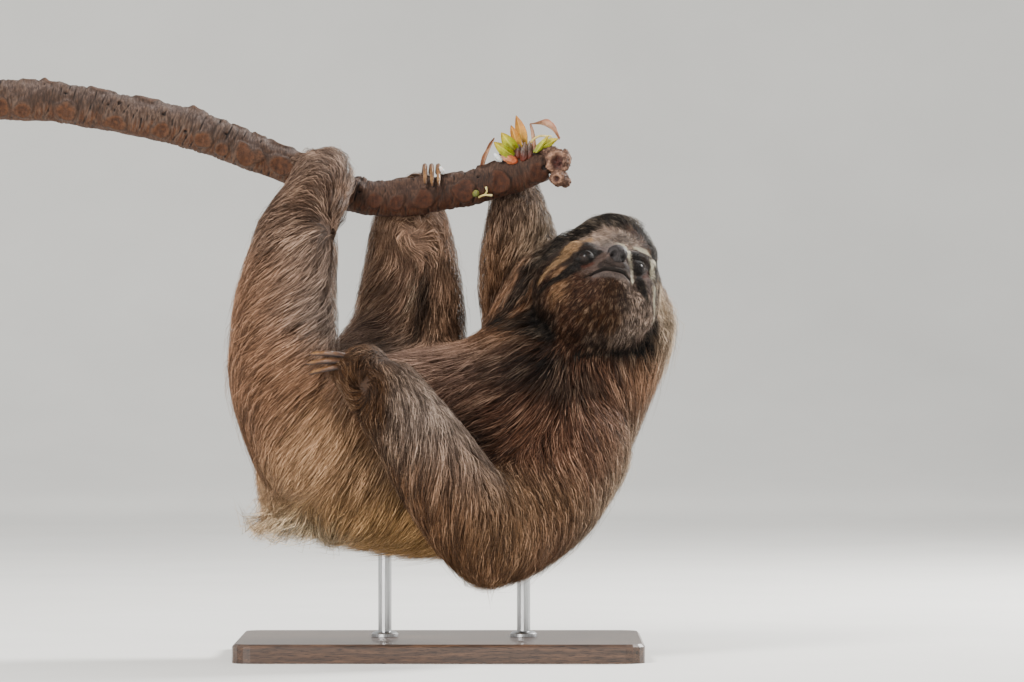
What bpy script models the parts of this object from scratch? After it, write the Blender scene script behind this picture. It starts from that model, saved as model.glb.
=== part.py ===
"""A brown-throated three-toed sloth hanging from a cut branch, as a life-size
museum model on a plain stand.

Metres, +Z up. The origin is the middle of the underside of the stand's base.
+X runs along the branch towards its growing tip, and the animal hangs belly up
below the branch with its left side towards -Y and its head at the +X end.

The animal is modelled whole, out to the tips of its coat, from round-ended
tubes along its spine and limbs, and is then parted by thin cuts into the
pieces that a person would name.
"""

import math

import bmesh
import bpy
import numpy as np
from mathutils import Matrix, Vector

MM = 0.001
GAP = 0.5 * MM  # clearance between pieces that meet
CLOSE_GAP = 0.35 * MM  # the same round small pieces
BODY_VOXEL = 4.0 * MM
HEAD_VOXEL = 1.8 * MM
BODY_TRIANGLES = 1240
SHARE_TRIANGLES = 56
HEAD_TRIANGLES = 1380
SHARE_GROWTH = 5 * MM  # how far a limb's share of the body reaches past its tubes
AXIS_Y = Vector((0, 1, 0))
AXIS_X = Vector((1, 0, 0))

# Each station of a tube is (x, y, z, half depth, half height) in millimetres:
# a point on the axis, then the half sizes of the section across the view from
# the side (along Y) and in the plane of that view.
SPINE = [
    (-98, 0, 137, 44, 40),  # rump
    (-81, 0, 139, 60, 57),  # pelvis
    (-42, 0, 148, 68, 73),  # loin
    (8, 0, 153, 70, 78),  # waist
    (50, 0, 166, 70, 77),  # ribs
    (84, 0, 194, 66, 71),  # shoulders
    (113, -2, 228, 52, 56),  # root of the neck
    (129, -6, 262, 42, 44),  # neck
    (127, -10, 288, 34, 33),  # behind the skull
]
MANTLE = [  # long fur on the far side of the neck, from the temple to the chest
    (51, 22, 210, 32, 34),
    (63, 20, 245, 28, 29),
    (79, 10, 275, 24, 25),
    (97, -2, 292, 22, 22),
]
TAIL = [(-98, 4, 112, 22, 20), (-114, 4, 106, 18, 17), (-130, 4, 104, 10, 9)]

LEFT_LEG = [
    (-95, -32, 162, 46, 46),  # hip
    (-111, -46, 205, 43, 43),
    (-113, -51, 245, 41, 40),  # knee
    (-110, -50, 283, 36, 36),
    (-104, -45, 308, 31, 33),
    (-94, -39, 330, 25, 28),  # ankle
]
RIGHT_LEG = [
    (-82, 35, 170, 44, 44),
    (-46, 54, 206, 42, 44),
    (-25, 58, 235, 40, 44),
    (-23, 50, 264, 37, 41),  # knee
    (-22, 38, 294, 32, 36),
    (-22, 25, 318, 27, 32),  # ankle
]
LEFT_UPPER_ARM = [
    (99, -38, 160, 38, 45),  # shoulder
    (76, -60, 122, 36, 43),
    (50, -80, 98, 34, 37),
    (35, -88, 88, 32, 31),  # elbow
]
LEFT_FOREARM = [
    (35, -88, 88, 32, 31),
    (21, -98, 112, 33, 36),
    (-2, -105, 144, 32, 34),
    (-23, -108, 175, 29, 31),
    (-38, -107, 197, 25, 28),  # wrist
]
RIGHT_ARM = [
    (92, 42, 190, 36, 37),  # shoulder
    (65, 66, 208, 31, 30),  # elbow
    (60, 64, 242, 31, 30),
    (58, 50, 271, 30, 31),
    (59, 34, 301, 29, 31),
    (58, 21, 320, 24, 27),  # wrist
]
LEFT_HAND = [(-42, -106, 203, 24, 25), (-53, -104, 211, 22, 23)]

# Hands and feet that grip lie round the branch, whose middle is at y 0.
LEFT_FOOT = [
    (-91, -34, 343, 24, 20),
    (-88, -27, 357, 23, 16),
    (-86, -8, 367, 21, 9),
    (-86, 14, 365, 19, 11),
    (-86, 26, 350, 17, 11),
]
RIGHT_FOOT = [
    (-22, 20, 324, 28, 20),
    (-21, 25, 339, 24, 12),
    (-17, 21, 352, 17, 9),
    (-14, 13, 358, 13, 5),
]
RIGHT_HAND = [
    (58, 16, 330, 24, 18),
    (56, 25, 346, 21, 13),
    (54, 25, 360, 17, 10),
    (53, 15, 372, 14, 6),
]

# The head: its middle, and how it is turned from looking straight along -Y.
HEAD_MIDDLE = Vector((116, -28, 267.5)) * MM
HEAD_TURN = math.radians(18)  # towards +X, its own left
HEAD_LIFT = math.radians(32)
HEAD_ROLL = math.radians(13)  # its own left side down
EYE_RADIUS = 5.8 * MM
EYE_PLACE = (19.5, 39.0, 2.8)  # left, forward and up of the head's middle
NOSE_PLACE = (0.0, 51.5, -1.5)
NOSTRIL_PLACE = (4.4, 56.5, -5.5)
MOUTH_HALF = 18.0  # half the mouth's width; its line runs at the places below
MOUTH_MIDDLE = (50.0, -12.5)  # forward and up, in the middle
MOUTH_CORNER = (44.0, -14.5)  # and at each corner
EAR_PLACE = (49.0, -8.0, 4.0)
EAR_TURN = math.radians(14)

HEAD_FORMS = [  # (left, forward, up), (half width, half length, half height), tilt
    ((9, -6, 27), (38, 42, 40), 0),  # crown
    ((0, -14, 4), (44, 38, 46), 0),  # nape
    ((0, 6, 4), (40, 36, 38), 0),  # face
    ((0, 4, -18), (43, 38, 31), 0),  # throat
    ((0, 36, -5), (16, 18, 10), 0),  # muzzle
    ((0, 34, -11), (20, 15, 7), 0),  # upper lip
    ((0, 29, 6), (14, 20, 11), 14),  # bridge of the nose
    ((0, 34, -17), (17, 14, 6), 0),  # lower lip and chin
]
HEAD_PAIRS = [
    ((28, -4, 0), (24, 34, 32), 0),  # temples
    ((25, 13, -18), (22, 25, 22), 0),  # cheeks
    ((20, 28, 14), (18, 15, 8), 10),  # brows
    ((23, 29, -8), (15, 14, 8), 0),  # below the eyes
    ((19.5, 36.5, 2.8), (10, 6.5, 7.5), 0),  # lids
]

# The branch: (x, y, z, radius) in millimetres, from the sawn end to the tip.
BRANCH = [
    (-340, 0, 413, 16.2),
    (-289, 2, 411, 15.2),
    (-252, 2, 405, 15.6),
    (-215, 1, 398, 15.2),
    (-182, 0, 390, 14.9),
    (-148, 0, 377, 14.5),
    (-104, 0, 360, 13.6),
    (-62, 0, 342, 13.4),
    (-30, 0, 340, 14.2),
    (11, 0, 345, 13.2),
    (44, 0, 354, 14.2),
    (67, 0, 361, 13.0),
    (79, 0, 364, 11.5),
]
BRANCH_SIDES = 9
BRANCH_RINGS = 31
SCAR_PITCH = 19.0 * MM  # from one leaf scar to the next along the branch
SCAR_TURN = math.radians(137.5)
SCAR_RELIEF = 1.4 * MM

CLAW_SIDES = 5
CLAW_RINGS = 5
CLAW_TAPER = 0.86  # how much thinner a claw is at its tip than at its root
CLAW_FLATNESS = 0.72  # its width over its depth
HOOKS = {  # x, its step per claw, branch middle (y, z), reach, angles, radius
    "foot_left": (-86, 9.0, (0, 353), 23, -5, -125, 2.6),
    "foot_right": (-7, 5.0, (0, 343), 18.5, 60, 158, 2.1),
    "hand_right": (53, 7.5, (0, 357), 19.5, 42, 104, 2.5),
}
HAND_CLAW_ROOT = (-66, -107, 215.5)  # of the free hand's middle claw
HAND_CLAW_STEP = 6.5  # from each claw to the next, downwards
HAND_CLAW_LENGTH = 36
HAND_CLAW_BEND = math.radians(62)

TIP_KNOBS = [  # stubs of fallen leaves at the growing tip: middle, half sizes
    ((83, -2, 367), (10, 11, 11)),
    ((91, -3, 363), (5, 7, 8)),
    ((88, -5, 353), (6, 7, 5)),
    ((74, -10, 361), (7, 6, 8)),
]
LEAVES = {  # root, tip, the way its width runs, width, how far it bows
    "leaf_tall": ((60, 0, 373), (56.5, -1, 401), (1, 0.3, 0), 10, 2),
    "leaf_cupped": ((56, -8, 374), (45, -12, 392), (-0.5, 1, -0.3), 13, 4),
    "leaf_low": ((53, -9, 370), (38, -13, 382), (0.1, -0.5, 1), 9, 2),
    "leaf_right": ((68, -7, 374), (87, -12, 385), (-0.5, -0.8, -0.6), 10, 3),
    "leaf_dry_over": ((66, 4, 378), (88, 1, 386), (-0.2, -1, -0.5), 11, 9),
    "leaf_dry_left": ((30, -2, 359), (41, -6, 385), (1, -0.4, 0.2), 5, 2),
}
LEAF_THICKNESS = 0.8 * MM

BASE_SIZE = (300 * MM, 200 * MM, 14 * MM)
BASE_CORNER = 14 * MM
BASE_EDGE = 2 * MM
ROD_RADIUS = 5 * MM
ROD_PLACES = {"front": (-41, 4, 106), "back": (62, 6, 124)}  # x, y and top z, mm


# ---------------------------------------------------------------- tools


def clear_scene():
    for obj in list(bpy.data.objects):
        bpy.data.objects.remove(obj)


def material(name, colour, roughness, metallic=0.0):
    made = bpy.data.materials.new(name)
    made.use_nodes = True
    shader = made.node_tree.nodes["Principled BSDF"]
    shader.inputs["Base Color"].default_value = (*colour, 1)
    shader.inputs["Roughness"].default_value = roughness
    shader.inputs["Metallic"].default_value = metallic
    made.diffuse_color = (*colour, 1)
    return made


def object_of(name, mesh):
    obj = bpy.data.objects.new(name, mesh)
    bpy.context.scene.collection.objects.link(obj)
    return obj


def finished(name, obj, finish):
    """The object under its node's name, in its one material."""
    obj.name = name
    obj.data.name = name
    obj.data.materials.clear()
    obj.data.materials.append(finish)
    obj.data.shade_smooth()
    obj.data.set_sharp_from_angle(angle=math.radians(40))
    return obj


def drop(*objects):
    for obj in objects:
        bpy.data.objects.remove(obj)


def copied(obj, name="helper"):
    return object_of(name, obj.data.copy())


def applied(obj):
    """Makes the evaluated mesh the object's own and clears its modifiers."""
    graph = bpy.context.evaluated_depsgraph_get()
    mesh = bpy.data.meshes.new_from_object(obj.evaluated_get(graph))
    obj.modifiers.clear()
    obj.data = mesh
    return obj


def boolean(obj, other, operation):
    cut = obj.modifiers.new(operation.title(), "BOOLEAN")
    cut.operation = operation
    cut.solver = "EXACT"
    cut.object = other
    return applied(obj)


def swollen(obj, by):
    """A copy of the object with its surface moved out by a distance."""
    made = copied(obj)
    grow = made.modifiers.new("Grow", "DISPLACE")
    grow.strength = by
    grow.mid_level = 0.0
    return applied(made)


def cleared_of(obj, *others, by=GAP):
    """Cuts the object back so that it keeps a small gap to the others."""
    for other in others:
        cutter = swollen(other, by)
        boolean(obj, cutter, "DIFFERENCE")
        drop(cutter)
    return obj


def loose_parts(obj):
    """The object's separate bodies, largest first. The object itself is used up."""
    work = bmesh.new()
    work.from_mesh(obj.data)
    left = set(work.verts)
    groups = []
    while left:
        stack = [left.pop()]
        group = set(stack)
        while stack:
            for edge in stack.pop().link_edges:
                for vert in edge.verts:
                    if vert in left:
                        left.discard(vert)
                        group.add(vert)
                        stack.append(vert)
        groups.append({vert.index for vert in group})
    work.free()
    parts = []
    for group in sorted(groups, key=len, reverse=True):
        piece = bmesh.new()
        piece.from_mesh(obj.data)
        others = [vert for vert in piece.verts if vert.index not in group]
        bmesh.ops.delete(piece, geom=others, context="VERTS")
        mesh = bpy.data.meshes.new("part")
        piece.to_mesh(mesh)
        piece.free()
        parts.append(object_of("part", mesh))
    drop(obj)
    return parts


def largest(obj):
    parts = loose_parts(obj)
    drop(*parts[1:])
    return parts[0]


def through(stations, steps):
    """A smooth Catmull-Rom line through rows of numbers, steps rows to a span."""
    rows = np.array(stations, float)
    padded = np.vstack([2 * rows[0] - rows[1], rows, 2 * rows[-1] - rows[-2]])
    line = []
    for i in range(len(rows) - 1):
        a, b, c, d = padded[i : i + 4]
        for t in np.arange(steps) / steps:
            line.append(
                0.5
                * (
                    2 * b
                    + (c - a) * t
                    + (2 * a - 5 * b + 4 * c - d) * t**2
                    + (3 * b - a - 3 * c + d) * t**3
                )
            )
    return np.array([*line, rows[-1]])


def skinned(rings, name="tube"):
    """A closed mesh through rings of points, with a pole at each end."""
    work = bmesh.new()
    loops = [[work.verts.new(p) for p in ring] for ring in rings]
    for below, above in zip(loops, loops[1:]):
        for i in range(len(below)):
            j = (i + 1) % len(below)
            work.faces.new((below[i], below[j], above[j], above[i]))
    for loop, ring in ((loops[0][::-1], rings[0]), (loops[-1], rings[-1])):
        pole = work.verts.new(sum(ring, Vector()) / len(ring))
        for i in range(len(loop)):
            work.faces.new((loop[i], loop[(i + 1) % len(loop)], pole))
    bmesh.ops.recalc_face_normals(work, faces=work.faces)
    mesh = bpy.data.meshes.new(name)
    work.to_mesh(mesh)
    work.free()
    return object_of(name, mesh)


def tube(stations, across=AXIS_Y, extra=0.0, sides=24, steps=4):
    """A round-ended tube through (x, y, z, half size along across, other half
    size) stations in millimetres."""
    line = through(stations, steps) * MM
    line[:, 3:] += extra
    places = [Vector(row[:3]) for row in line]
    tangents = [
        (places[min(i + 1, len(places) - 1)] - places[max(i - 1, 0)]).normalized()
        for i in range(len(places))
    ]
    rings = []

    def ring(place, tangent, wide, high):
        w = (across - across.dot(tangent) * tangent).normalized()
        h = tangent.cross(w)
        rings.append(
            [
                place
                + w * wide * math.cos(2 * math.pi * i / sides)
                + h * high * math.sin(2 * math.pi * i / sides)
                for i in range(sides)
            ]
        )

    caps = [math.radians(a) for a in (80, 60, 40, 20)]
    for a in caps:
        reach = min(line[0, 3:]) * math.sin(a)
        ring(places[0] - tangents[0] * reach, tangents[0], *(line[0, 3:] * math.cos(a)))
    for place, tangent, row in zip(places, tangents, line):
        ring(place, tangent, *row[3:])
    for a in reversed(caps):
        reach = min(line[-1, 3:]) * math.sin(a)
        far = places[-1] + tangents[-1] * reach
        ring(far, tangents[-1], *(line[-1, 3:] * math.cos(a)))
    return skinned(rings)


def ellipsoid(middle, radii, turn=None, rings=16, segments=24):
    work = bmesh.new()
    bmesh.ops.create_uvsphere(work, u_segments=segments, v_segments=rings, radius=1)
    place = Matrix.Translation(middle) @ (turn.to_4x4() if turn else Matrix())
    work.transform(place @ Matrix.Diagonal((*radii, 1)))
    mesh = bpy.data.meshes.new("ellipsoid")
    work.to_mesh(mesh)
    work.free()
    return object_of("ellipsoid", mesh)


def fused(pieces, voxel, smoothing):
    """One smooth closed skin round all the pieces, which are used up."""
    work = bmesh.new()
    for piece in pieces:
        work.from_mesh(piece.data)
    mesh = bpy.data.meshes.new("fused")
    work.to_mesh(mesh)
    work.free()
    drop(*pieces)
    obj = object_of("fused", mesh)
    remesh = obj.modifiers.new("Remesh", "REMESH")
    remesh.mode = "VOXEL"
    remesh.voxel_size = voxel
    smooth = obj.modifiers.new("Smooth", "SMOOTH")
    smooth.factor = 0.5
    smooth.iterations = smoothing
    return applied(obj)


def thinned(obj, triangles, keep=None):
    """Collapses the mesh to about so many triangles. keep(point) is from 0 to 1,
    the share of detail that a place keeps above the rest."""
    if keep:
        group = obj.vertex_groups.new(name="keep")
        for vert in obj.data.vertices:
            group.add([vert.index], keep(vert.co), "REPLACE")
    obj.data.calc_loop_triangles()
    collapse = obj.modifiers.new("Decimate", "DECIMATE")
    collapse.ratio = triangles / len(obj.data.loop_triangles)
    if keep:
        collapse.vertex_group = "keep"
        collapse.invert_vertex_group = True
        collapse.vertex_group_factor = 1.0
    applied(obj)
    obj.vertex_groups.clear()
    return obj


def half_of(obj, place, normal):
    """A copy of the part of the object on the side that normal points to."""
    work = bmesh.new()
    work.from_mesh(obj.data)
    made = bmesh.ops.bisect_plane(
        work,
        geom=[*work.verts, *work.edges, *work.faces],
        plane_co=place + normal * GAP / 2,
        plane_no=-normal,
        clear_outer=True,
    )
    rim = [e for e in made["geom_cut"] if isinstance(e, bmesh.types.BMEdge)]
    caps = bmesh.ops.edgeloop_fill(work, edges=rim)["faces"]
    bmesh.ops.triangulate(work, faces=caps)
    bmesh.ops.recalc_face_normals(work, faces=work.faces)
    mesh = bpy.data.meshes.new("half")
    work.to_mesh(mesh)
    work.free()
    return object_of("half", mesh)


def parted(obj, station, towards):
    """Parts the object by a thin plane cut at a station, square to the line to the
    next point, and returns the near and the far part. The object is used up."""
    place = Vector(station[:3]) * MM
    normal = (Vector(towards[:3]) * MM - place).normalized()
    near, far = half_of(obj, place, -normal), half_of(obj, place, normal)
    drop(obj)
    return near, far


# ---------------------------------------------------------------- flesh

def limb_tubes(extra=0.0):
    """The tubes of each limb and of the tail, by name, all meeting the trunk."""

    def grow(stations, across=AXIS_Y):
        return tube(stations, across, extra)

    return {
        "left_leg": [grow(LEFT_LEG), grow(LEFT_FOOT, AXIS_X)],
        "right_leg": [grow(RIGHT_LEG), grow(RIGHT_FOOT, AXIS_X)],
        "left_arm": [grow(LEFT_UPPER_ARM), grow(LEFT_FOREARM), grow(LEFT_HAND)],
        "right_arm": [grow(RIGHT_ARM), grow(RIGHT_HAND, AXIS_X)],
        "tail": [grow(TAIL)],
    }


def whole_body():
    """Trunk, neck, tail and limbs under one skin, at the tips of the coat."""
    pieces = [tube(SPINE), tube(MANTLE)]
    for tubes in limb_tubes().values():
        pieces += tubes
    body = fused(pieces, BODY_VOXEL, smoothing=6)
    return thinned(body, BODY_TRIANGLES)


def limb_shares():
    """For each limb, the space that is the limb's share of the whole body."""
    return {
        limb: thinned(fused(tubes, BODY_VOXEL, smoothing=2), SHARE_TRIANGLES)
        for limb, tubes in limb_tubes(SHARE_GROWTH).items()
    }


def body_parts(body):
    """The body's nodes by name. The body is used up."""
    parts = {}
    for limb, share in limb_shares().items():
        parts[limb] = largest(boolean(copied(body), share, "INTERSECT"))
        cleared_of(body, share)
        body = largest(body)
        drop(share)
    parts["trunk"], parts["neck"] = parted(body, SPINE[5], SPINE[6])
    for side, leg, foot in (
        ("left", LEFT_LEG, LEFT_FOOT),
        ("right", RIGHT_LEG, RIGHT_FOOT),
    ):
        knee = 2 if side == "left" else 3
        thigh, shank = parted(parts.pop(f"{side}_leg"), leg[knee], leg[knee + 1])
        shank, toes = parted(shank, leg[-1], foot[0])
        parts[f"thigh_{side}"] = thigh
        parts[f"shank_{side}"] = shank
        parts[f"foot_{side}"] = toes
    upper, lower = parted(parts.pop("left_arm"), *elbow_plane())
    lower, hand = parted(lower, LEFT_FOREARM[-1], LEFT_HAND[-1])
    parts["upper_arm_left"], parts["forearm_left"] = upper, lower
    parts["hand_left"] = hand
    upper, lower = parted(parts.pop("right_arm"), RIGHT_ARM[1], RIGHT_ARM[2])
    lower, hand = parted(lower, RIGHT_ARM[-1], RIGHT_HAND[0])
    parts["upper_arm_right"], parts["forearm_right"] = upper, lower
    parts["hand_right"] = hand
    return parts


def elbow_plane():
    """A point and a next point for the cut that halves the bent left elbow."""
    elbow = Vector(LEFT_FOREARM[0][:3])
    up = (Vector(LEFT_FOREARM[2][:3]) - elbow).normalized()
    down = (Vector(LEFT_UPPER_ARM[1][:3]) - elbow).normalized()
    return elbow + 6 * (up + down), elbow + 6 * (up + down) + (up - down)


# ---------------------------------------------------------------- head


def head_turn():
    turn = Matrix.Rotation(HEAD_TURN, 3, "Z")
    lift = Matrix.Rotation(-HEAD_LIFT, 3, "X")
    roll = Matrix.Rotation(HEAD_ROLL, 3, "Y")
    return turn @ lift @ roll


def on_head(left, forward, up):
    """A place given in millimetres in the head's own directions."""
    return HEAD_MIDDLE + head_turn() @ (Vector((left, -forward, up)) * MM)


def head_form(place, size, tilt):
    turn = head_turn() @ Matrix.Rotation(math.radians(tilt), 3, "X")
    return ellipsoid(on_head(*place), [s * MM for s in size], turn)


def head_whole():
    forms = [head_form(*form) for form in HEAD_FORMS]
    for (left, forward, up), size, tilt in HEAD_PAIRS:
        for side in (left, -left):
            forms.append(head_form((side, forward, up), size, tilt))
    head = fused(forms, HEAD_VOXEL, smoothing=5)
    face = on_head(0, 48, 0)

    def face_detail(point):
        return max(0.0, 0.7 - (point - face).length / (60 * MM))

    return thinned(head, HEAD_TRIANGLES, face_detail)


def eye(left):
    return ellipsoid(
        on_head(left, *EYE_PLACE[1:]), [EYE_RADIUS] * 3, head_turn(), 6, 9
    )


def nose_pad():
    """The bare nose: a rounded pad with two nostrils."""
    pad = fused(
        [
            head_form(NOSE_PLACE, (8.5, 5.5, 8), 8),
            head_form((0, 50, -8), (4.5, 4, 4), 0),
        ],
        1.0 * MM,
        smoothing=3,
    )
    pad = thinned(pad, 130)
    left, *rest = NOSTRIL_PLACE
    for side in (left, -left):
        place = on_head(side, *rest)
        nostril = ellipsoid(place, (2 * MM, 4 * MM, 1.6 * MM), head_turn(), 6, 8)
        boolean(pad, nostril, "DIFFERENCE")
        drop(nostril)
    return pad


def mouth_cut():
    """A thin curved wedge that opens the closed lips' line."""
    middle, corner = np.array(MOUTH_MIDDLE), np.array(MOUTH_CORNER)
    stations = []
    for t in np.linspace(-1, 1, 9):
        forward, up = middle + (corner - middle) * t * t
        place = on_head(MOUTH_HALF * t, forward, up)
        stations.append((*(place / MM), 0.8, 4.0))
    turn = head_turn()
    return tube(stations, turn @ Vector((0, 0, 1)), sides=8, steps=1)


def ear(left):
    side = math.copysign(1, left)
    turn = head_turn() @ Matrix.Rotation(side * EAR_TURN, 3, "Z")
    return ellipsoid(
        on_head(left, *EAR_PLACE[1:]), (3.5 * MM, 8 * MM, 10 * MM), turn, 5, 6
    )


# ---------------------------------------------------------------- claws


def claw(root, heading, curl_to, length, bend, radius):
    """A tapering claw that sets out along heading and bends towards curl_to."""
    root = Vector(root) * MM
    heading = Vector(heading).normalized()
    side = heading.cross(Vector(curl_to)).normalized()
    step = length * MM / CLAW_RINGS
    rings = []
    place = root.copy()
    for i in range(CLAW_RINGS + 1):
        t = i / CLAW_RINGS
        turn = Matrix.Rotation(bend * t, 3, side)
        ahead = turn @ heading
        normal = ahead.cross(side)
        thick = radius * MM * (1 - CLAW_TAPER * t**1.6)
        rings.append(
            [
                place
                + side * thick * CLAW_FLATNESS * math.cos(2 * math.pi * k / CLAW_SIDES)
                + normal * thick * math.sin(2 * math.pi * k / CLAW_SIDES)
                for k in range(CLAW_SIDES)
            ]
        )
        place = place + ahead * step
    return skinned(rings)


def hooked_claw(x, spread, middle, reach, start, finish, radius):
    """A claw on an arc of radius reach round the branch's middle, from one angle
    to another; 0 degrees is behind the branch and 90 is over it."""
    a, b = math.radians(start), math.radians(finish)
    turn = math.copysign(1, b - a)
    root = (x, middle[0] + reach * math.cos(a), middle[1] + reach * math.sin(a))
    heading = Vector((spread, -turn * math.sin(a), turn * math.cos(a)))
    inward = Vector((0, -math.cos(a), -math.sin(a)))
    return claw(root, heading, inward, reach * abs(b - a), abs(b - a), radius)


def claws():
    """Three claws to each hand and foot, by node name."""
    made = {}
    for i, across in enumerate((-1, 0, 1)):
        x, y, z = HAND_CLAW_ROOT
        made[f"claw_hand_left_{i + 1}"] = claw(
            root=(x + 2 * abs(across), y, z - HAND_CLAW_STEP * across),
            heading=(-1, -0.28, -0.02 - 0.12 * across),
            curl_to=(-0.2, 1, 0),
            length=HAND_CLAW_LENGTH,
            bend=HAND_CLAW_BEND,
            radius=2.6,
        )
        for limb, (x, step, *rest) in HOOKS.items():
            made[f"claw_{limb}_{i + 1}"] = hooked_claw(x + step * across, 0.06, *rest)
    return made


# ---------------------------------------------------------------- branch


def branch_line():
    return through(BRANCH, 12)


def branch():
    """The branch, a little swollen at each leaf scar, round the stem by the
    golden angle."""
    line = branch_line() * MM
    places = [Vector(row[:3]) for row in line]
    runs = np.cumsum([0.0] + [(b - a).length for a, b in zip(places, places[1:])])

    def row_at(run):
        return [np.interp(run, runs, line[:, column]) for column in range(4)]

    rings = []
    for k in range(BRANCH_RINGS):
        run = runs[-1] * k / (BRANCH_RINGS - 1)
        *place, radius = row_at(run)
        ahead = Vector(row_at(run + 2 * MM)[:3]) - Vector(row_at(run - 2 * MM)[:3])
        ahead.normalize()
        w = (AXIS_Y - AXIS_Y.dot(ahead) * ahead).normalized()
        h = ahead.cross(w)
        ring = []
        for i in range(BRANCH_SIDES):
            around = 2 * math.pi * i / BRANCH_SIDES
            out = w * math.cos(around) + h * math.sin(around)
            ring.append(Vector(place) + out * (radius + scar_relief(run, around)))
        rings.append(ring)
    return skinned(rings)


def scar_relief(at, around):
    """How far the leaf scars lift the bark at a place along and round the stem."""
    lift = 0.0
    nearest = round(at / SCAR_PITCH)
    for n in (nearest - 1, nearest, nearest + 1):
        along = (at - n * SCAR_PITCH) / (8 * MM)
        turn = math.remainder(around - n * SCAR_TURN, 2 * math.pi) / 0.75
        lift += math.exp(-(along**2) - turn**2)
    return SCAR_RELIEF * min(lift, 1.0)


def tip_knobs():
    return [
        ellipsoid(Vector(place) * MM, [s * MM for s in size], rings=5, segments=6)
        for place, size in TIP_KNOBS
    ]


def leaf(root, tip, side, width, bow):
    """A young leaf: a pointed blade, cupped across, of even thickness."""
    root, tip = Vector(root) * MM, Vector(tip) * MM
    ahead = (tip - root).normalized()
    side = (Vector(side) - ahead * ahead.dot(Vector(side))).normalized()
    up = side.cross(ahead)
    rows, columns = 4, 4
    work = bmesh.new()
    grid = []
    for i in range(rows):
        t = i / (rows - 1)
        half = width * MM / 2 * (math.sin(math.pi * (0.12 + 0.86 * t)) ** 0.8)
        middle = root.lerp(tip, t) + up * bow * MM * math.sin(math.pi * t)
        row = []
        for j in range(columns):
            s = 2 * j / (columns - 1) - 1
            row.append(
                work.verts.new(middle + side * half * s + up * half * 0.35 * s * s)
            )
        grid.append(row)
    for below, above in zip(grid, grid[1:]):
        for j in range(columns - 1):
            work.faces.new((below[j], below[j + 1], above[j + 1], above[j]))
    mesh = bpy.data.meshes.new("leaf")
    work.to_mesh(mesh)
    work.free()
    obj = object_of("leaf", mesh)
    solid = obj.modifiers.new("Solidify", "SOLIDIFY")
    solid.thickness = LEAF_THICKNESS
    solid.offset = 0.0
    return applied(obj)


# ---------------------------------------------------------------- stand


def stand_base():
    """A flat plate with round corners and a small bevel on its upper edge."""
    length, width, height = BASE_SIZE
    work = bmesh.new()
    bmesh.ops.create_cube(work, size=1)
    work.transform(
        Matrix.Translation((0, 0, height / 2))
        @ Matrix.Diagonal((length, width, height, 1))
    )
    upright = [e for e in work.edges if abs(e.verts[0].co.z - e.verts[1].co.z) > MM]
    bmesh.ops.bevel(
        work,
        geom=upright,
        offset=BASE_CORNER,
        segments=4,
        affect="EDGES",
        profile=0.5,
    )
    top = [e for e in work.edges if all(v.co.z > height - MM / 10 for v in e.verts)]
    bmesh.ops.bevel(
        work, geom=top, offset=BASE_EDGE, segments=1, affect="EDGES", profile=0.5
    )
    mesh = bpy.data.meshes.new("base")
    work.to_mesh(mesh)
    work.free()
    return object_of("base", mesh)


def stand_rod(x, y, top):
    """A round rod that stands on the base, a hair above it."""
    low = BASE_SIZE[2] + 0.3 * MM
    work = bmesh.new()
    bmesh.ops.create_cone(
        work,
        cap_ends=True,
        segments=16,
        radius1=ROD_RADIUS,
        radius2=ROD_RADIUS,
        depth=top * MM - low,
    )
    work.transform(Matrix.Translation((x * MM, y * MM, (top * MM + low) / 2)))
    mesh = bpy.data.meshes.new("rod")
    work.to_mesh(mesh)
    work.free()
    return object_of("rod", mesh)


# ---------------------------------------------------------------- assembly


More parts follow.
